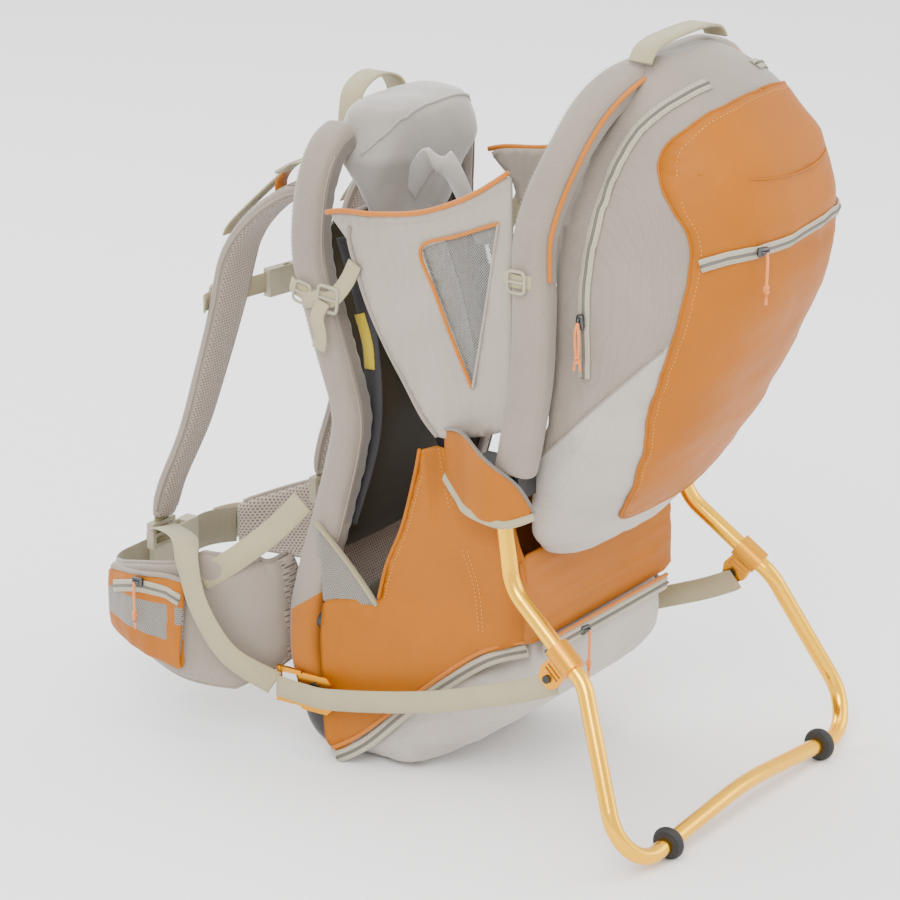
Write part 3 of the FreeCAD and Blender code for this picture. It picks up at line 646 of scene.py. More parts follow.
def zip_on(name, points, tree, width, lift):
    """A zip lying on a surface, with a row of stitches on each tape."""
    line = [rest_on(tree, p, lift) for p in smooth_line(points, 70)]
    normals = [tree.find_nearest(p)[1] for p in line]
    zip_band(name, line, normals, width, 0, (-0.9, 0.3, 0.7), 1.5)
    for sign, letter in ((-1, "a"), (1, "b")):
        row = [p + h.cross(n).normalized() * sign * width * MM * 0.36 + n * 0.75 * MM
               for p, h, n in zip(line, tangents(line), normals)]
        sew(f"{name}_stitch_{letter}", row, "khaki_webbing")


def straight_zip(name, points, normal, width, lift=2.0):
    """A zip along points on a nearly flat face."""
    line = smooth_line(points, 70)
    zip_band(name, line, [Vector(normal)] * len(line), width, lift, (-1.4, 0.2, 0.6), 1.6)


def join(objects, name):
    """One mesh from several; all share their world placement."""
    verts, faces, mats, index = [], [], [], []
    for obj in objects:
        base = len(verts)
        verts += [v.co.copy() for v in obj.data.vertices]
        material = obj.data.materials[0]
        if material not in mats:
            mats.append(material)
        for poly in obj.data.polygons:
            faces.append(tuple(base + i for i in poly.vertices))
            index.append(mats.index(material))
        bpy.data.objects.remove(obj)
    made = mesh_object(name, verts, faces, mats[0])
    for material in mats[1:]:
        made.data.materials.append(material)
    for poly, i in zip(made.data.polygons, index):
        poly.material_index = i
    return made


def lock(name, centre, right, up, width, height, thick=3.6):
    """A moulded strap lock on the carrier: a rounded rectangular frame with a cross bar."""
    right, up = Vector(right).normalized(), Vector(up).normalized()
    w, h = width / 2, height / 2
    outline = rounded_outline([(-w, -h), (w, -h), (w, h), (-w, h)], 5.0, 2.0)
    rim = [centre + right * u * MM + up * v * MM for u, v in outline]
    bar = smooth_line([centre + right * s * w * MM for s in (-1, 1)], 6)
    parts = [rod(name + "_rim", rim, thick / 2, M["buckle"], closed=True),
             rod(name + "_bar", bar, thick * 0.45, M["buckle"])]
    settle(join(parts, name), "khaki_plastic")


# ---------- camera, floor and light ----------

def aim(obj, target):
    obj.rotation_mode = "QUATERNION"
    obj.rotation_quaternion = (target - obj.location).to_track_quat("-Z", "Y")


LENS, SENSOR = 174.8, 36.0                              # millimetres
TARGET, AZIMUTH, ELEVATION, DISTANCE = P(0, -14.2, 292.1), -56, 19, 4.2     # degrees and metres
FLOOR_HALF = 6.0
WORLD_STRENGTH = 1.75
LAMPS = (("key", (-2.6, -1.2, 2.6), 95, 1.6), ("fill", (1.8, -2.6, 1.6), 40, 2.2), ("rim", (0.6, 2.6, 2.4), 50, 1.6),
         ("top", (0.0, 0.0, 3.4), 45, 2.4))             # name, place, watts and size


def studio():
    scene = bpy.context.scene
    data = bpy.data.cameras.new("camera")
    data.lens = LENS
    data.sensor_width = SENSOR
    data.clip_end = 100.0
    camera = bpy.data.objects.new("camera", data)
    scene.collection.objects.link(camera)
    scene.camera = camera
    azimuth, elevation = math.radians(AZIMUTH), math.radians(ELEVATION)
    back = Vector((math.sin(azimuth) * math.cos(elevation), -math.cos(azimuth) * math.cos(elevation),
                   math.sin(elevation)))
    camera.location = TARGET + back * DISTANCE
    aim(camera, TARGET)

    f = FLOOR_HALF
    floor = mesh_object("floor", [(-f, -f, 0), (f, -f, 0), (f, f, 0), (-f, f, 0)], [(0, 1, 2, 3)],
                        Shader("pale_floor").material)
    surface = floor.data.materials[0].node_tree.nodes["Principled BSDF"]
    surface.inputs["Base Color"].default_value = (0.93, 0.93, 0.93, 1)
    surface.inputs["Roughness"].default_value = 0.9

    world = bpy.data.worlds.new("studio")
    world.use_nodes = True
    world.node_tree.nodes["Background"].inputs["Color"].default_value = (1, 1, 1, 1)
    world.node_tree.nodes["Background"].inputs["Strength"].default_value = WORLD_STRENGTH
    scene.world = world
    for name, place, power, width in LAMPS:
        light = bpy.data.lights.new(name, "AREA")
        light.energy = power
        light.size = width
        lamp = bpy.data.objects.new(name, light)
        scene.collection.objects.link(lamp)
        lamp.location = place
        aim(lamp, Vector((0, 0, 0.35)))


studio()


# ---------- CAD nodes that stay ----------

def finish_node(names, material):
    for name in names:
        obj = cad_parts[name]
        obj.data.materials.clear()
        obj.data.materials.append(material)
        smooth_faces(obj.data)
        edges = obj.modifiers.new("edges", "EDGE_SPLIT")
        edges.split_angle = math.radians(35)


finish_node(["front_frame_tube", "rear_hoop_tube", "kickstand_tube", "side_rail_left", "side_rail_right"],
            M["gold"])
finish_node(["stand_clamp_left", "stand_clamp_right", "strap_guide_left", "strap_guide_right"], M["paint"])
finish_node(["frame_splice", "hinge_pins"], M["pin"])
finish_node(["clamp_rivets", "guide_screws", "corner_guard_left", "corner_guard_right"], M["black"])
finish_node(["hinge_bracket_left", "hinge_bracket_right", "rail_clamps", "base_board", "harness_buckle"],
            M["black"])
finish_node(["stand_foot_left", "stand_foot_right"], M["rubber"])
finish_node(["hip_buckle_socket", "hip_buckle_plug", "sternum_buckle_socket", "sternum_buckle_plug",
             "strap_locks"], M["buckle"])


# ---------- frame sleeves ----------

SLEEVE_RINGS, SLEEVE_SIDES = 110, 32
FRAME_LINE = [(-112, 55, 52), (-113.5, 68, 100), (-114, 69, 140), (-115, 60, 184), (-115.5, 47, 224),
              (-116, 32, 275), (-116.8, 18, 330), (-117, 17, 360), (-117.5, 29, 405), (-118, 44, 450),
              (-118, 58, 500), (-118, 58, 545), (-113, 54.5, 580), (-98, 53, 603), (-76, 52.5, 611)]


def sided(s, points):
    """Points given as (distance from the middle, y, z), on side s."""
    return [P(s * abs(x), y, z) for x, y, z in points]


def front_sleeve(s, side):
    """Padded sleeve: smooth cloth outside with a seam, gathered darker cloth on the inner face."""
    line = smooth_line(sided(s, FRAME_LINE), SLEEVE_RINGS)
    rings = []
    for i, (p, head) in enumerate(zip(line, tangents(line))):
        forward = (Vector((0, 1, 0)) - head * head.y).normalized()
        outer = head.cross(forward)
        if outer.x * s < 0:
            outer = -outer
        t = i / (SLEEVE_RINGS - 1)
        ring = []
        for a in angles(SLEEVE_SIDES):
            c, d = squared(math.cos(a), 0.72), squared(math.sin(a), 0.78)
            ripple = 0.9 * noise.noise(Vector((t * 16, c * 2, d * 2 + 5)))
            if d < 0.1 and 0.25 < t:
                ripple += 0.9 * math.sin(t * 210 + 3 * noise.noise(Vector((t * 40, a, 0)))) * min(1.0, 0.3 - d)
            ring.append(p + forward * (2.5 + (17.6 + ripple) * c) * MM + outer * ((17.2 + ripple) * d) * MM)
        rings.append(ring)
    obj = skin_rings(f"front_sleeve_{side}", rings, M["front_sleeve"])
    obj.data.materials.append(M["taupe"])
    for poly in obj.data.polygons:
        i, j = divmod(min(poly.vertices), SLEEVE_SIDES)
        if 15 <= j <= 31 and i > 36:
            poly.material_index = 1
    refine(obj)
    settle(obj, "taupe_cloth", f"frame_sleeve_{side}", fill=0.8)
    seen = rings[30:104]
    for seam, row, name in ((1, 3, "front"), (14, 12, "rear")):
        piping(f"front_sleeve_seam_{name}_{side}", edge_line(seen, seam, 0.3), 110, 1.1, "sleeve",
               "taupe_cloth", 6)
        sew(f"front_sleeve_stitches_{name}_{side}", edge_line(seen, row, 0.4), "taupe_cloth")


for s, side in SIDES:
    front_sleeve(s, side)

HOOP_LINE = [(-153, -189, 348), (-154, -197, 385), (-155, -207, 440), (-155, -210, 500), (-155, -209, 560),
             (-153, -217, 600), (-140, -231, 645), (-115, -242, 682), (-78, -248, 701), (-38, -249, 704),
             (0, -249, 704)]


def hoop_sleeve():
    """Flat padded sleeve over the rear hoop; the two sides meet at the top."""
    half = [P(*p) for p in HOOP_LINE]
    whole = half + [Vector((-p.x, p.y, p.z)) for p in half[-2::-1]]
    line = smooth_line(whole, 150)
    centre = P(0, -215, 500)
    rings = []
    for i, (p, head) in enumerate(zip(line, tangents(line))):
        outer = p - centre
        outer.y = 0
        outer = (outer - head * outer.dot(head)).normalized()
        back = head.cross(outer).normalized()
        if back.y > 0:
            back = -back
        ring = []
        for a in angles(24):
            c, d = squared(math.cos(a), 0.62), squared(math.sin(a), 0.8)
            puffy = 1.0 + 0.05 * noise.noise(Vector((i * 0.11, c * 1.5, d * 1.5)))
            ring.append(p + back * 19.5 * c * puffy * MM + outer * 16.0 * d * puffy * MM)
        rings.append(ring)
    obj = skin_rings("hoop_sleeve", rings, M["sleeve"])
    refine(obj)
    settle(obj, "taupe_cloth", "rear_hoop_sleeve", fill=0.8)
    for name, j in (("outer", 3), ("inner", 9)):
        sew(f"hoop_sleeve_stitches_{name}", edge_line(rings, j, 0.9)[4:-4], "taupe_cloth")
    piping("hoop_piping", edge_line(rings, 1, 1.6)[30:-30], 180, 2.3, "piping", "orange_cloth")


hoop_sleeve()


# ---------- daypack ----------

DAYPACK_LEVELS = [(246, -176, -214, 96), (272, -178, -236, 126), (324, -184, -282, 136), (381, -200, -322, 140),
                  (445, -209, -357, 142), (507, -209, -387, 142), (556, -212, -400, 140),
                  (602, -224, -399, 134), (646, -235, -385, 122), (684, -245, -356, 102), (712, -250, -318, 78),
                  (728, -254, -284, 48)]


def level_at(z):
    rows = DAYPACK_LEVELS
    for low, high in zip(rows, rows[1:]):
        if z <= high[0]:
            t = (z - low[0]) / (high[0] - low[0])
            return [a + (b - a) * t for a, b in zip(low, high)]
    return list(rows[-1])


def daypack_shape():
    rings = []
    for i in range(46):
        z = 248 + (727 - 248) * i / 45
        _, front, back, half = level_at(z)
        depth = (front - back) - 6
        ring = []
        for k in range(40):
            a = math.pi * k / 39
            c, d = math.cos(a), math.sin(a)
            ring.append(P((half - 4) * squared(c, 0.72), front - 1 - depth * d ** 0.80, z))
        rings.append(ring)
    obj = skin_rings("daypack", rings, M["pack"])
    puff(obj, voxel=6.0, pressure=3.0, cap=5.0, frames=12)
    wrinkle(obj, 1.6, (70, 70, 30), 3.1)
    wrinkle(obj, 0.6, (26, 26, 13), 8.0)
    flatten_for_pocket_zip(obj)
    return obj


def flatten_for_pocket_zip(obj):
    """Holds the back down to the strip that the pocket's slider runs along."""
    for v in obj.data.vertices:
        across, z = abs(v.co.x / MM), v.co.z / MM
        near = max(0.0, 1 - abs(z - 560) / 60) * max(0.0, 1 - max(0.0, across - 78) / 40)
        face = -388.7 - 11 * (80.1 - max(27.6, min(across, 80.1))) / 52.5 + 1.04 * max(0.0, across - 80.1)
        v.co.y = max(v.co.y, (face + SHIFT_Y + 8.5 - 16 * (1 - near)) * MM)
    obj.data.update()


daypack = daypack_shape()
daypack_tree = tree_of(daypack)
refine(daypack)
settle(daypack, "grey_cloth", "daypack_body", fill=0.7)

BACKWARD = Vector((0, 1, 0))


def on_daypack(lift):
    def place(x, z):
        return cast(daypack_tree, P(x, -520, z), BACKWARD, lift, P(x, -300, z))
    return place


def side_of_daypack(lift, s=-1):
    def place(y, z):
        return cast(daypack_tree, P(s * 320, y, z), Vector((-s, 0, 0)), lift, P(s * 100, y, z))
    return place


PANEL_HALF = [(30, 694), (74, 686), (100, 666), (114, 642), (118, 612), (112, 586), (115, 535), (116, 478),
              (110, 406), (88, 330), (74, 288)]
PANEL_FRONT = PANEL_HALF + [(-x, z) for x, z in PANEL_HALF[::-1]]
panel_outline = rounded_outline(PANEL_FRONT, 20)
front_panel = cloth_sheet("daypack_front_panel", panel_outline, on_daypack(2.2), M["orange"], spacing=7,
                          thick=1.8, fold=lambda v: Vector((0, -1.2, 0)) * MM * noise.noise(v * 26))
settle(front_panel, "orange_cloth", "daypack_pocket")
edge = [on_daypack(3.9)(x * 0.965, 490 + (z - 490) * 0.982) for x, z in panel_outline]
sew("daypack_front_stitches", edge, "orange_cloth", "thread_orange")
rim = [on_daypack(2.6)(x, z) for x, z in panel_outline]
piping("daypack_front_binding", rim, 220, 1.3, "orange", "orange_cloth", 6)

POCKET_ZIP = [(-108, 560), (-92, 567), (-68, 570), (-38, 571), (0, 575), (50, 578), (104, 572)]
zip_on("pocket_zip", [on_daypack(0)(x, z) for x, z in POCKET_ZIP], daypack_tree, 12, 4.4)
UPPER_SEAM = [(-100, 640), (-60, 632), (0, 628), (60, 632), (100, 640)]
seam = [on_daypack(3.6)(x, z) for x, z in UPPER_SEAM]
piping("daypack_upper_seam", seam, 60, 1.0, "orange", "orange_cloth", 6)

LOW_SEAM = [(-212, 368), (-225, 381), (-264, 420), (-301, 457), (-322, 478)]
MAIN_ZIP = [(-141, -252, 445), (-141, -252, 500), (-139, -253, 540), (-132, -259, 580), (-126, -265, 612),
            (-116, -274, 646), (-101, -285, 672), (-76, -303, 692), (-40, -316, 702)]
for s, side in SIDES:
    zip_on(f"main_zip_{side}", sided(s, MAIN_ZIP), daypack_tree, 12, 1.6)
    seam = [side_of_daypack(0.8, s)(y, z) for y, z in LOW_SEAM]
    piping(f"daypack_seam_low_{side}", seam, 50, 1.0, "grey", "grey_cloth", 6)
    row = [side_of_daypack(1.0, s)(y, z + 4) for y, z in LOW_SEAM]
    sew(f"daypack_stitches_low_{side}", row, "grey_cloth")


# ---------- storage bag ----------

BAG_OUTLINE = [(74, 3), (-37, 3), (-95, 41), (-152, 83), (-186, 112), (-192, 135), (-190, 165), (-180, 178),
               (-139, 178), (-139, 154), (70, 154), (76, 120)]


def storage_bag():
    outline = rounded_outline([(y, z) for y, z in BAG_OUTLINE if (y, z) != (-139, 178)], 16, 7.0)
    rings = []
    for x, inset in ((-112, 12), (-111, 7), (-106, 2.5), (-98, 0.5), (-60, 0), (0, 0), (60, 0), (98, 0.5), (106, 2.5),
                     (111, 7), (112, 12)):
        rings.append([P(x, y + (inset if y < -50 else -inset) * 0.8,
                        z + (inset if z < 90 else -inset * 0.2) * 0.8) for y, z in outline])
    obj = skin_rings("storage_bag_cloth", rings, M["pale"])
    puff(obj, voxel=6.0, pressure=3.5, cap=6.0, frames=12)
    for v in obj.data.vertices:
        v.co.z = max(v.co.z, 2.0 * MM)
    wrinkle(obj, 1.5, (50, 70, 30), 1.7)
    return obj


bag = storage_bag()
refine(bag)
settle(bag, "grey_cloth", "storage_bag", fill=0.5)


# ---------- seat ----------

def outside(surface, s):
    """outside(...)(lift)(y, z) is the point `lift` outside surface(y, z), its distance from the middle, on side s."""
    return lambda lift: lambda y, z: P(s * (surface(y, z) + lift), y, z)


def seat_x(y, z):
    """Distance of the seat's side cloth from the middle: outside the rail below, leaning outwards above."""
    lean = 119.5 + (z - 155) * 0.17
    width = max(124.0 - 2.0 * max(0.0, (60 - z) / 60), lean) + (3.0 if y > 30 else 0.0) * min(1.0,
                                                                                              (y - 30) / 12)
    if y < -90:
        width = min(width, 138.5)
    return width - max(0.0, -160 - y) * 0.35


SIDE_OUTLINE = [(46, 20), (34, 9), (4, 34), (-60, 90), (-134, 149), (-184, 170), (-184, 252), (-170, 310),
                (-134, 346), (-84, 352), (-74, 318), (-54, 264), (-31, 219), (-17, 176), (14, 172), (46, 166),
                (50, 120)]
MESH_OUTLINE = [(44, 246), (14, 209), (-17, 172), (14, 168), (46, 164), (50, 200)]
side_outline = rounded_outline(SIDE_OUTLINE, 9, 5.0)
mesh_outline = rounded_outline(MESH_OUTLINE, 3, 5.0)

for s, side in SIDES:
    on_seat = outside(seat_x, s)

    def soft(v, s=s):
        sag = 1.8 * noise.noise(Vector((v.y * 14, v.z * 18, 3.0))) + 0.8 * noise.noise(Vector((v.y * 45,
                                                                                               v.z * 20, 9.0)))
        return Vector((s * sag * MM, 0, 0))

    cloth = cloth_sheet(f"seat_side_{side}", side_outline, on_seat(0), M["orange"], spacing=5.5, thick=1.8,
                        fold=soft)
    settle(cloth, "orange_cloth", "seat_bucket")
    insert = cloth_sheet(f"seat_mesh_{side}", mesh_outline, on_seat(-0.6), M["mesh_grey"], spacing=6, thick=1.6)
    settle(insert, "mesh_cloth")
    binding = [on_seat(0.4)(y, z) for y, z in ((45, 248), (14, 209), (-15, 172))]
    webbing(f"seat_binding_{side}", binding, [(1, 0, 0)], 7.0, 2.4, 30)
    hem = [on_seat(0.8)(y, z) for y, z in ((-17, 180), (-31, 219), (-54, 264), (-74, 318), (-84, 350))]
    piping(f"seat_leg_hem_{side}", hem, 60, 2.0, "orange", "orange_cloth")
    for k, offset in enumerate((0.0, 5.0)):
        row = [on_seat(1.5)(y - offset, z) for y, z in ((-96, 350), (-106, 300), (-122, 250), (-130, 215),
                                                        (-131, 172))]
        sew(f"seat_stitches_{k}_{side}", row, "orange_cloth", "thread_orange")
    row = [on_seat(1.6)(y, z) for y, z in ((-24, 182), (-39, 220), (-62, 266), (-82, 318), (-91, 346))]
    sew(f"seat_hem_stitches_{side}", row, "orange_cloth", "thread_orange")
    low_piping = [on_seat(1.6)(y, z) for y, z in ((38, 14), (4, 36), (-60, 92), (-132, 150), (-182, 170))]
    piping(f"seat_low_piping_{side}", low_piping, 80, 2.0, "piping", "orange_cloth")


for s, side in SIDES:
    route = [P(s * (seat_x(y, z) - 1.5), y, z) for y, z in ((34, 4), (-2, 28), (-60, 82), (-134, 140),
                                                            (-180, 160))]
    straight_zip(f"base_zip_{side}", route, (s, 0, 0), 12.0)
straight_zip("base_zip_rear", [P(-110, -193, 160), P(0, -193.5, 160), P(110, -193, 160)], (0, -1, 0), 13.0, 0.6)
piping("base_rear_piping", [P(x, -194.5, 169) for x in (-108, 0, 108)], 60, 2.0, "piping", "orange_cloth")


def slab(name, points, across, widths, thick, material, count=60, sides=28, square=0.45, seed=0.0, ripple=0.5):
    """A padded band with a rounded, squarish section along a smooth line."""
    line = smooth_line(points, count)
    hints = width_hints(across, count)
    sizes = smooth_line([Vector((w, 0, 0)) for w in widths], count)
    rings = []
    for i, (p, head) in enumerate(zip(line, tangents(line))):
        side = (hints[i] - head * hints[i].dot(head)).normalized()
        up = head.cross(side)
        t = i / (count - 1)
        end = min(1.0, min(t, 1 - t) * count / 4)
        w = sizes[i].x / 2 * (0.90 + 0.10 * end)
        h = thick / 2 * (0.55 + 0.45 * math.sqrt(end))
        ring = []
        for a in angles(sides):
            c, d = squared(math.cos(a), square), squared(math.sin(a), square + 0.35)
            soft = ripple * noise.noise(Vector((t * 9 + seed, c * 1.5, d * 2)))
            ring.append(p + side * (w + soft) * c * MM + up * (h + soft) * d * MM)
        rings.append(ring)
    return skin_rings(name, rings, material), rings


# The seat's rear wall and pan
wall, _ = slab("seat_wall", [P(0, -134, 168), P(0, -133, 250), P(0, -133, 336)], [(1, 0, 0)], [228, 250, 276],
               8, M["orange"])
settle(wall, "orange_cloth", fill=0.3)
rear, _ = slab("seat_rear_cover", [P(0, -185, 168), P(0, -184, 215), P(0, -180, 256)], [(1, 0, 0)],
               [262, 264, 266], 5, M["orange"], ripple=1.6)
settle(rear, "orange_cloth")
pan, _ = slab("seat_pan", [P(0, -128, 166), P(0, -50, 163), P(0, 28, 166)], [(1, 0, 0)], [190, 190, 188], 15,
              M["lining"])
settle(pan, "orange_cloth", fill=0.6)

# Patch over the hinge
PATCH_X = [(-106, 145), (-130, 160), (-150, 174), (-172, 180), (-192, 174), (-206, 160), (-216, 148)]


def patch_x(y):
    for a, b in zip(PATCH_X, PATCH_X[1:]):
        if y >= b[0]:
            t = min(1.0, max(0.0, (y - a[0]) / (b[0] - a[0])))
            return a[1] + (b[1] - a[1]) * t
    return PATCH_X[-1][1]


PATCH = [(-106, 372), (-141, 382), (-174, 366), (-200, 342), (-212, 312), (-190, 303), (-152, 308), (-108, 324)]
patch_outline = rounded_outline(PATCH, 10, 4.5)
for s, side in SIDES:
    on_patch = outside(lambda y, z: patch_x(y), s)

    patch = cloth_sheet(f"hinge_cover_{side}", patch_outline, on_patch(0), M["orange"], spacing=5, thick=2.0)
    refine(patch)
    settle(patch, "orange_cloth")
    low_edge = [on_patch(1.0)(y, z) for y, z in ((-106, 326), (-130, 315), (-152, 309), (-190, 304),
                                                 (-211, 310))]
    webbing(f"hinge_cover_binding_{side}", low_edge, [(0.2, 0, 1)], 8.0, 2.2, 40)
    top_edge = [on_patch(1.0)(y, z) for y, z in ((-106, 372), (-141, 381), (-174, 365), (-200, 341),
                                                 (-211, 314))]
    piping(f"hinge_cover_hem_{side}", top_edge, 50, 1.6, "taupe", "orange_cloth", 6)


# ---------- cockpit ----------

def cockpit_x(y):
    return 138 + (12 - y) * 0.1


PANEL_OUTLINE = [(30, 553), (12, 558), (-27, 562), (-83, 574), (-137, 598), (-184, 628), (-187, 560),
                 (-187, 430), (-180, 386), (-150, 374), (-100, 362), (-82, 380), (-60, 410), (-38, 440),
                 (-15, 479), (4, 528)]
WINDOW = [(-80, 540), (-172, 580), (-143, 419)]
cockpit_outline = rounded_outline(PANEL_OUTLINE, 8, 6.0)
window_outline = rounded_outline(WINDOW, 8, 6.0)
for s, side in SIDES:
    on_cockpit = outside(lambda y, z: cockpit_x(y), s)

    def slack(v, s=s):
        bulge = 2.2 * noise.noise(Vector((v.y * 12, v.z * 9, 21.0))) + 0.9 * noise.noise(Vector((v.y * 40,
                                                                                                 v.z * 16,
                                                                                                 5.0)))
        return Vector((s * bulge * MM, 0, 0))

    shell = cloth_sheet(f"cockpit_side_{side}", cockpit_outline, on_cockpit(-2), M["panel"],
                        holes=[window_outline], spacing=6.5, thick=3.2, fold=slack)
    settle(shell, "grey_cloth", f"cockpit_panel_{side}")
    net = cloth_sheet(f"window_net_{side}", rounded_outline([(-77, 543), (-176, 586), (-143, 411)], 8, 8.0),
                      on_cockpit(-2.2), M["net"], spacing=10, thick=0.5)
    settle(net, "window_net", "window_meshes")
    top = [on_cockpit(-0.5)(y, z) for y, z in ((32, 554), (12, 559), (-27, 563), (-83, 575), (-137, 599),
                                               (-182, 629))]
    piping(f"cockpit_piping_{side}", top, 90, 2.6, "piping", "orange_cloth", 10)
    rim = [on_cockpit(0.5)(y, z) for y, z in ((-172, 581), (-126, 561), (-82, 541), (-98, 503), (-122, 456),
                                              (-142, 420))]
    piping(f"window_piping_{side}", rim, 90, 1.8, "piping", "orange_cloth")
    rear = [on_cockpit(0.5)(y, z) for y, z in ((-143, 420), (-158, 500), (-172, 581))]
    piping(f"window_seam_{side}", rear, 50, 1.4, "panel", "grey_cloth")
    row = [on_cockpit(1.0)(y - 7, z) for y, z in ((4, 540), (2, 528), (-15, 480), (-38, 441), (-60, 411),
                                                  (-82, 381))]
    sew(f"cockpit_stitches_{side}", row, "grey_cloth")
    row = [on_cockpit(1.0)(y, z - 9) for y, z in ((24, 554), (12, 559), (-27, 563), (-83, 575), (-137, 599),
                                                  (-176, 622))]
    sew(f"cockpit_top_stitches_{side}", row, "grey_cloth")
    hem = [on_cockpit(-1.0)(y, z) for y, z in ((4, 545), (4, 528), (-15, 479), (-38, 440), (-60, 410),
                                               (-82, 380), (-100, 364))]
    piping(f"cockpit_hem_{side}", hem, 80, 2.2, "sleeve", "grey_cloth")
    # Webbing that adjusts the side, through a slider on the front sleeve
    tie = sided(s, [(-139, 58, 466), (-141, 40, 470), (-142, 22, 474), (-142, 6, 492), (-141.5, -4, 512)])
    webbing(f"cockpit_tie_{side}", tie, [(0, 0.3, 1), (0, 0.3, 1), (0, 0.6, 0.8), (0, 0.9, -0.3)], 16)
    lock(f"tie_buckle_{side}", P(s * 143.5, 26, 473), (0, 1, 0.1), (0, -0.1, 1), 22, 24)
    tail = sided(s, [(-144, 30, 470), (-149, 34, 456), (-150, 30, 438), (-147, 34, 424)])
    webbing(f"cockpit_tail_{side}", tail, [(0, 1, 0.2)], 15)
    for name, at, along, across, width in (("front", (-137.5, 58, 473), (0, 1, 0.25), (0, -0.25, 1), 14),
                                           ("rear", (-173, -203, 536), (0, 1, 0), (0, 0, 1), 13)):
        c = P(-s * at[0], at[1], at[2])
        direction = Vector(along)
        keeper = [c + direction * d * MM - Vector((s * 6 * (abs(d) / 18) ** 2, 0, 0)) * MM
                  for d in (-18, -9, 0, 9, 18)]
        webbing(f"keeper_{name}_{side}", keeper, [across], width, 2.2, 20)
        lock(f"keeper_buckle_{name}_{side}", c + Vector((s * 2.4, 0, 0)) * MM, along, across, 18, 20, 3.0)


# ---------- wearer's padding ----------

back, _ = slab("back_panel_pad", [P(0, 61, 202), P(0, 49, 240), P(0, 17, 345), P(0, 30, 402), P(0, 60, 490),
                                  P(0, 61, 530)], [(1, 0, 0)], [186, 188, 188, 188, 188, 186], 15, M["mesh"],
               80)
back.data.materials.append(M["lining"])
for poly in back.data.polygons:
    if poly.normal.y < -0.3:
        poly.material_index = 1
settle(back, "mesh_cloth", "back_panel", fill=0.7)
lumbar, _ = slab("lumbar_cushion", [P(0, 95, 104), P(0, 98, 160), P(0, 96, 212)], [(1, 0, 0)], [150, 158, 150],
                 30, M["mesh"], 40, 32, 0.4)
refine(lumbar)
settle(lumbar, "mesh_cloth", "lumbar_pad", fill=0.8)

ROW_HEAD = [(641, 8, 58, 58), (630, -4, 70, 78), (600, -8, 75, 84), (560, 4, 60, 76), (528, 14, 48, 60),
            (508, 24, 44, 44)]


def head_cushion():
    """Soft pad folded over the top of the frame."""
    levels = smooth_line([Vector((z, (b + f) / 2, (f - b) / 2)) for z, b, f, half in ROW_HEAD], 26)
    halves = smooth_line([Vector((half, 0, 0)) for z, b, f, half in ROW_HEAD], 26)
    rings = []
    for i, (level, half) in enumerate(zip(levels, halves)):
        t = i / 25
        cap = min(1.0, 0.72 + t * 4) * min(1.0, 0.6 + (1 - t) * 4)
        rings.append([P(half.x * cap * squared(math.cos(a), 0.5), level.y
                        + level.z * cap * squared(math.sin(a), 0.6), level.x) for a in angles(40)])
    obj = skin_rings("head_cushion", rings, M["fleece"])
    puff(obj, voxel=5.0, pressure=3.0, cap=5.0, frames=10)
    wrinkle(obj, 1.6, (46, 40, 40), 5.0)
    return obj


head = head_cushion()
head_tree = tree_of(head)
refine(head)
settle(head, "soft_grey", "head_pad", fill=0.8)
edge = [rest_on(head_tree, p, 0.6) for p in smooth_line([P(-84, 30, 598), P(-60, -4, 634), P(0, -2, 640),
                                                         P(60, -4, 634), P(84, 30, 598)], 60)]
settle(rod("head_piping", edge, 1.5, M["fleece"], 6), "soft_grey")
SHOULDER_X = [70, 74, 79, 82, 84, 86, 90, 96, 100]
SHOULDER = {-1: [(88, 556), (112, 549), (146, 522), (172, 484), (186, 430),
                 (202, 374), (224, 300), (250, 236), (258, 200)],
            1: [(88, 556), (110, 549), (134, 522), (150, 484), (156, 430),
                (160, 374), (172, 300), (196, 236), (206, 200)]}
SHOULDER_WIDTHS = [46, 52, 56, 56, 56, 54, 50, 42, 34]


def shoulder_points(s):
    return [P(s * x, y, z) for x, (y, z) in zip(SHOULDER_X, SHOULDER[s])]


for s, side in SIDES:
    points = shoulder_points(s)
    pad, rings = slab(f"shoulder_pad_{side}", points, [(1, 0, 0)], SHOULDER_WIDTHS, 15, M["mesh"], 90, 28, 0.5,
                      s * 3.0)
    pad.data.materials.append(M["sleeve"])
    for poly in pad.data.polygons:
        if abs(poly.normal.x) > 0.55:
            poly.material_index = 1
    refine(pad)
    settle(pad, "mesh_cloth", f"shoulder_strap_{side}", fill=0.8)
    for name, j in (("in", 1), ("out", 13)):
        edge = edge_line(rings[2:-2], j, 0.6)
        piping(f"shoulder_binding_{name}_{side}", edge, 120, 1.6, "sleeve", "taupe_cloth")

WING_PATH = [((-81, 106), 105, 205), ((-118, 108), 92, 188), ((-148, 134), 74, 195), ((-160, 184), 56, 194),
             ((-152, 238), 66, 181), ((-128, 286), 82, 158), ((-100, 318), 96, 142)]
for s, side in SIDES:
    points = [P(-s * x, y, (low + high) / 2) for (x, y), low, high in WING_PATH]
    heights = [high - low for _, low, high in WING_PATH]
    wing, rings = slab(f"wing_pad_{side}", points, [(0, 0, 1)], heights, 19, M["mesh_side"], 80, 36, 0.4,
                       s * 5.0)
    wing.data.materials.append(M["sleeve"])
    for poly in wing.data.polygons:
        if poly.normal.x * s > 0.25:
            poly.material_index = 1
    refine(wing)
    settle(wing, "mesh_cloth", f"hip_wing_{side}", fill=0.8)
    for name, j in (("top", 0), ("low", 18)):
        edge = edge_line(rings[2:-2], j, 0.5)
        piping(f"wing_binding_{name}_{side}", edge, 120, 2.4, "sleeve", "taupe_cloth")

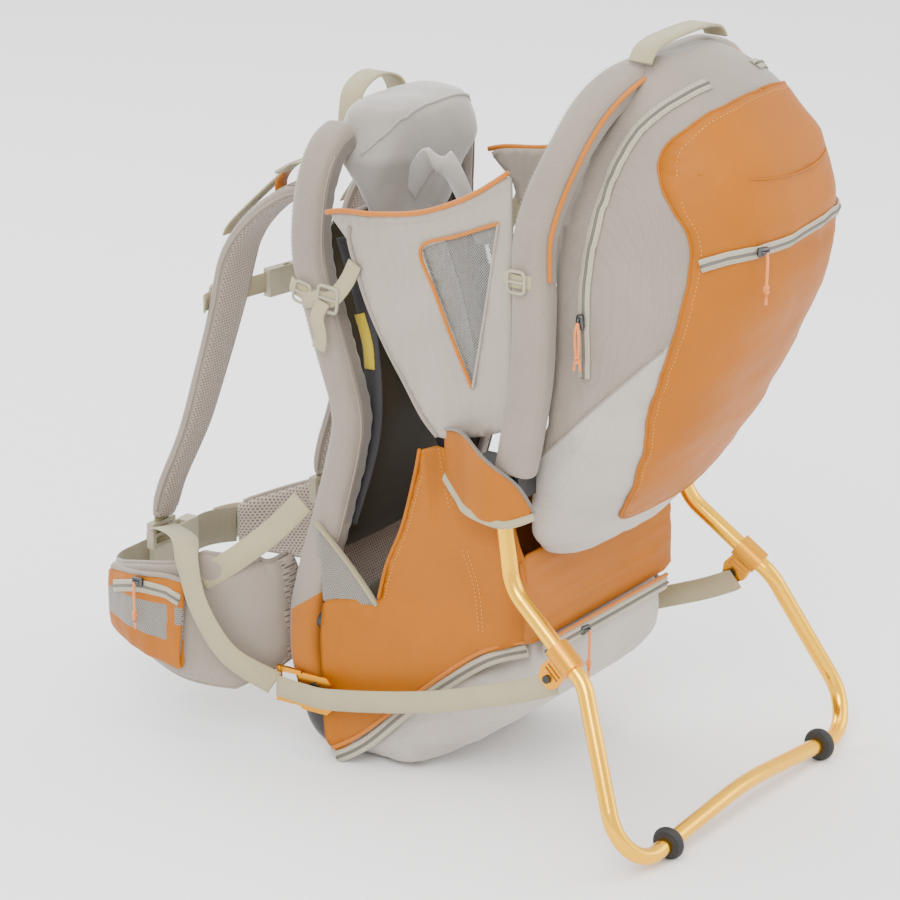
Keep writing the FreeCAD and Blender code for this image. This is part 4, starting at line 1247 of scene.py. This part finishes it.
# Webbing over the right wing; the left one has the pocket there
wide = sided(1, ((131, 106, 122), (160, 128, 122), (172, 184, 120), (163, 240, 119), (139, 292, 119),
                 (110, 326, 119), (84, 336, 119)))
webbing("wing_webbing_right", wide, [(0, 0, 1)], 38, 2.0, 80)
lock("wing_buckle_right", P(174, 184, 120), (0, 1, 0), (0, 0, 1), 26, 44, 4.0)

# Pocket on the left wing: orange below and above a band of mesh, with a zip
pocket, rings = slab("hip_pocket_pad", [P(-173, 180, 126), P(-173, 186, 126), P(-166, 240, 124),
                                        P(-143, 288, 122), P(-140, 292, 122)], [(0, 0, 1)],
                     [96, 96, 90, 68, 62], 11, M["orange"], 60, 44, 0.4, 2.0, 1.2)
pocket.data.materials.append(M["mesh_grey"])
for poly in pocket.data.polygons:
    z = poly.center.z / MM
    y = poly.center.y / MM - SHIFT_Y
    if 116 - (y - 180) * 0.05 < z < 137 - (y - 180) * 0.05:
        poly.material_index = 1
pocket_tree = tree_of(pocket)
refine(pocket)
settle(pocket, "orange_cloth", "hip_pocket", fill=0.5)
hip_zip = [rest_on(pocket_tree, P(x, y, z), 0) for x, y, z in ((-190, 178, 152), (-190, 200, 157),
                                                               (-180, 240, 154), (-160, 282, 140))]
zip_on("hip_zip", hip_zip, pocket_tree, 12, 0.5)
top = [rest_on(pocket_tree, P(x, y, z), 1.0) for x, y, z in ((-176, 178, 176), (-174, 200, 174),
                                                             (-166, 240, 170), (-146, 288, 158))]
piping("hip_pocket_binding", top, 60, 2.6, "sleeve", "taupe_cloth")

# Harness for the child
for s, side in SIDES:
    points = sided(s, ((34, 34, 500), (34, 14, 452), (33, -6, 390), (30, -16, 330)))
    band, _ = slab(f"harness_pad_{side}", points, [(1, 0, 0)], [30, 30, 30, 28], 9, M["fleece"], 40, 20)
    settle(band, "soft_grey", *(["harness_straps"] if s < 0 else []), fill=0.7)
    webbing(f"harness_end_{side}", [P(s * 30, -16, 332), P(s * 22, -20, 312), P(s * 14, -22, 296)], [(1, 0, 0)],
            20, material="dark_webbing", slot="soft_grey")
webbing("harness_crotch", [P(0, -34, 171), P(0, -31, 210), P(0, -22, 266)], [(1, 0, 0)], 25,
        material="dark_webbing", slot="soft_grey")
# A harness loop lying over the cockpit's edge, and dark adjusting webbing inside the frame
webbing("harness_loop", [P(-40, 4, 560), P(-58, -30, 596), P(-74, -62, 600), P(-80, -86, 572),
                         P(-70, -100, 530)], [(0.3, 1, 0)], 24, 5.0, 60, material="fleece", slot="soft_grey")
for s, side in SIDES:
    webbing(f"inner_webbing_{side}", sided(s, [(-96, 40, 520), (-97, 14, 440), (-97, 8, 340), (-98, 36, 240)]),
            [(0, 1, 0)], 20, 1.8, 60, material="dark_webbing")
    webbing(f"inner_tab_{side}", sided(s, [(-98, 22, 448), (-99, 12, 420), (-99, 10, 396)]), [(0, 1, 0)], 12,
            2.0, 24, material="yellow")


# ---------- webbing ----------

for s, side in SIDES:
    end = SHOULDER[s][8]
    belt = [P(s * 101, end[0] + 3, 172), P(s * 103, end[0] + 3, 186), P(s * 122, end[0] - 22, 199),
            P(s * 158, 188, 208), P(s * 177, 170, 192), P(s * 183, 152, 152), P(s * 172, 126, 106),
            P(s * 142, 94, 74)]
    across = [Vector((s, 0.2, 0)), Vector((s, 0.3, 0)), Vector((s * 0.8, 0.6, 0)), Vector((s * 0.3, 0.95, 0)),
              Vector((0, 1, -0.1)), Vector((0, 0.9, -0.45)), Vector((0, 0.7, -0.7)), Vector((0, 0.1, -1))]
    webbing(f"belt_webbing_{side}", belt, across, 25, 1.9, 110, nodes=[f"belt_strap_{side}"])
    ladder = [P(s * 100, end[0] + 1, 212), P(s * 100, end[0] + 3, 196), P(s * 100, end[0] + 3, 180)]
    webbing(f"lock_webbing_{side}", ladder, [(1, 0, 0)], 22, 1.9, 16)
    run = sided(s, ((141, 92, 72), (143, 60, 71), (145, 20, 74), (150, -90, 99), (157, -190, 134),
                                         (160, -233, 153), (162, -240, 157)))
    long_strap = strap(f"stand_webbing_{side}", run, [(0, 0, 1)], 22, M["webbing"], 1.9, 120)
    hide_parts(f"stand_strap_{side}")
    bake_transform(long_strap)
    anchor = SHOULDER[s][3]
    lifter = [P(s * 84, 70, 596), P(s * 83, 90, 584), P(s * 82, 112, 572),
              P(s * 81, anchor[0] + 2, anchor[1] + 30), P(s * 81, anchor[0] + 14, anchor[1] + 12)]
    webbing(f"lifter_webbing_{side}", lifter, [(1, 0, 0)], 20, 1.9, 50, nodes=["load_lifters"] if s < 0 else [])
    lock(f"lifter_buckle_{side}", P(s * 82, 112, 574), (1, 0, 0), (0, 0.8, -0.5), 27, 20, 3.4)
    tail = [P(s * 81, 113, 572), P(s * 80, 124, 556), P(s * 79, 122, 536)]
    webbing(f"lifter_tail_{side}", tail, [(1, 0, 0)], 19, 1.6, 30, material="piping")
    stabiliser = sided(s, ((131, 66, 262), (142, 96, 228), (156, 132, 196), (166, 162, 174)))
    webbing(f"stabiliser_{side}", stabiliser, [(0, 0.5, 0.8)], 24, 1.9, 50)

for s, side in SIDES:
    inner = -8.0 if s < 0 else 37.8
    points = [P(s * 99.4, 318.6, 119), P(s * 84, 330, 119), P(s * 72, 334.9, 119), P(s * 64, 336, 119),
              P(s * 52, 336, 119), P(s * 40, 336, 119), P(inner, 336, 119)]
    # The hip band is khaki webbing; its darker colour is painted shade.
    webbing(f"hip_band_{side}", points, [(0, 0, 1)], 38, 1.3, 60, material="painted_shade_webbing",
            nodes=[f"hip_webbing_{side}"])
left, right = P(-84, 198, 432), P(84, 168, 432)
direction = (right - left).normalized()
middle = left + (right - left) * 0.46
for name, start, stop in (("left", left, middle - direction * 6 * MM), ("right", right, middle + direction * 23 * MM)):
    webbing(f"chest_band_{name}", [start, (start + stop) / 2, stop], [(0, 0, 1)], 20, 1.6, 30,
            nodes=["sternum_straps"] if name == "left" else [])
    keeper = [start + Vector((x, y, 0)) * MM for x, y in ((-30, -6), (-22, -2.5), (0, -2), (22, -2.5),
                                                          (30, -6))]
    webbing(f"chest_keeper_{name}", keeper, [(0, 0, 1)], 18, 2.2, 24)
    lock(f"chest_buckle_{name}", start - Vector((0, 0.5, 0)) * MM, (1, 0, 0), (0, 0, 1), 26, 26, 3.4)

haul = [P(x, y, z) for x, y, z in ((-42, 72, 600), (-41, 72, 622), (-30, 74, 643), (0, 75, 652), (30, 74, 643),
                                   (41, 72, 622), (42, 72, 600))]
webbing("haul_loop_webbing", haul, [(0, 1, 0)], 25, 3.0, 80, nodes=["haul_handle"])
grip = [P(x, y, z) for x, y, z in ((-66, -262, 722), (-58, -262, 731), (-44, -262, 736), (-20, -264, 739),
                                   (20, -264, 739), (44, -262, 736), (58, -262, 731), (66, -262, 722))]
webbing("daypack_grip_webbing", grip, [(0, 1, 0)], 25, 3.0, 80, nodes=["daypack_handle"])


# ---------- zip sliders ----------

def slider(node, body, position, along, out):
    """Metal slider with a knotted cord loop hanging from it."""
    along, out = Vector(along).normalized(), Vector(out).normalized()
    side = along.cross(out).normalized()
    foot = P(*position) + out * 0.4 * MM
    outline = rounded_outline([(-7, -4.5), (7, -3.2), (7, 3.2), (-7, 4.5)], 2.0, 1.5)
    rings = []
    for height, scale in ((0, 0.92), (0.6, 1.0), (3.0, 1.0), (4.0, 0.85)):
        rings.append([foot + along * u * scale * MM + side * v * scale * MM + out * height * MM for u,
                      v in outline])
    shell = skin_rings(f"{node}_shell", rings, M["steel"])
    bridge = rod(f"{node}_bridge", smooth_line([foot + along * a * MM + out * h * MM for a,
                                                h in ((-4, 3.4), (-2.5, 6), (2.5, 6), (4, 3.4))], 16), 1.0,
                 M["steel"])
    top = foot + out * 6.2 * MM
    down = Vector((0, 0, -1))
    parts = [shell, bridge]
    for k, spread in enumerate((-1.7, 1.7)):
        path = [top, top + down * 8 * MM + side * spread * MM + out * 0.8 * MM,
                top + down * 20 * MM + side * spread * 1.2 * MM + out * 0.5 * MM,
                top + down * 33 * MM + side * spread * 0.6 * MM]
        parts.append(rod(f"{node}_cord_{k}", smooth_line(path, 26), 1.35, M["cord"]))
        end = [top + down * 33 * MM + side * spread * MM, top + down * 40 * MM + side * spread * 1.6 * MM,
               top + down * 45 * MM + side * spread * 2.0 * MM]
        parts.append(rod(f"{node}_tail_{k}", smooth_line(end, 12), 1.3, M["cord"]))
    knot = smooth_line([top + down * (31 + 6 * t) * MM + side * math.cos(9 * t) * 1.6 * MM
                        + out * math.sin(9 * t) * 1.6 * MM for t in (0, 0.12, 0.25, 0.37, 0.5, 0.62, 0.75, 0.87,
                                                                     1)], 40)
    parts.append(rod(f"{node}_knot", knot, 1.7, M["cord"]))
    settle(join(parts, f"{node}_piece"), "orange_cord", node, body=body)


slider("storage_zip_slider", "storage_slider", (-40, -192.6, 160), (1, 0, 0), (0, -1, 0))
slider("daypack_zip_slider", "daypack_slider", (-143, -252, 500), (0, 0, 1), (-1, 0, 0))
slider("pocket_zip_slider", "pocket_slider", (-68, -391.8, 570), (52.5, -11, 0), (-11, -52.5, 0))
slider("hip_zip_slider", "hip_slider", (-172.5, 233, 160), (8, 54, 0), (-54, 8, 0))
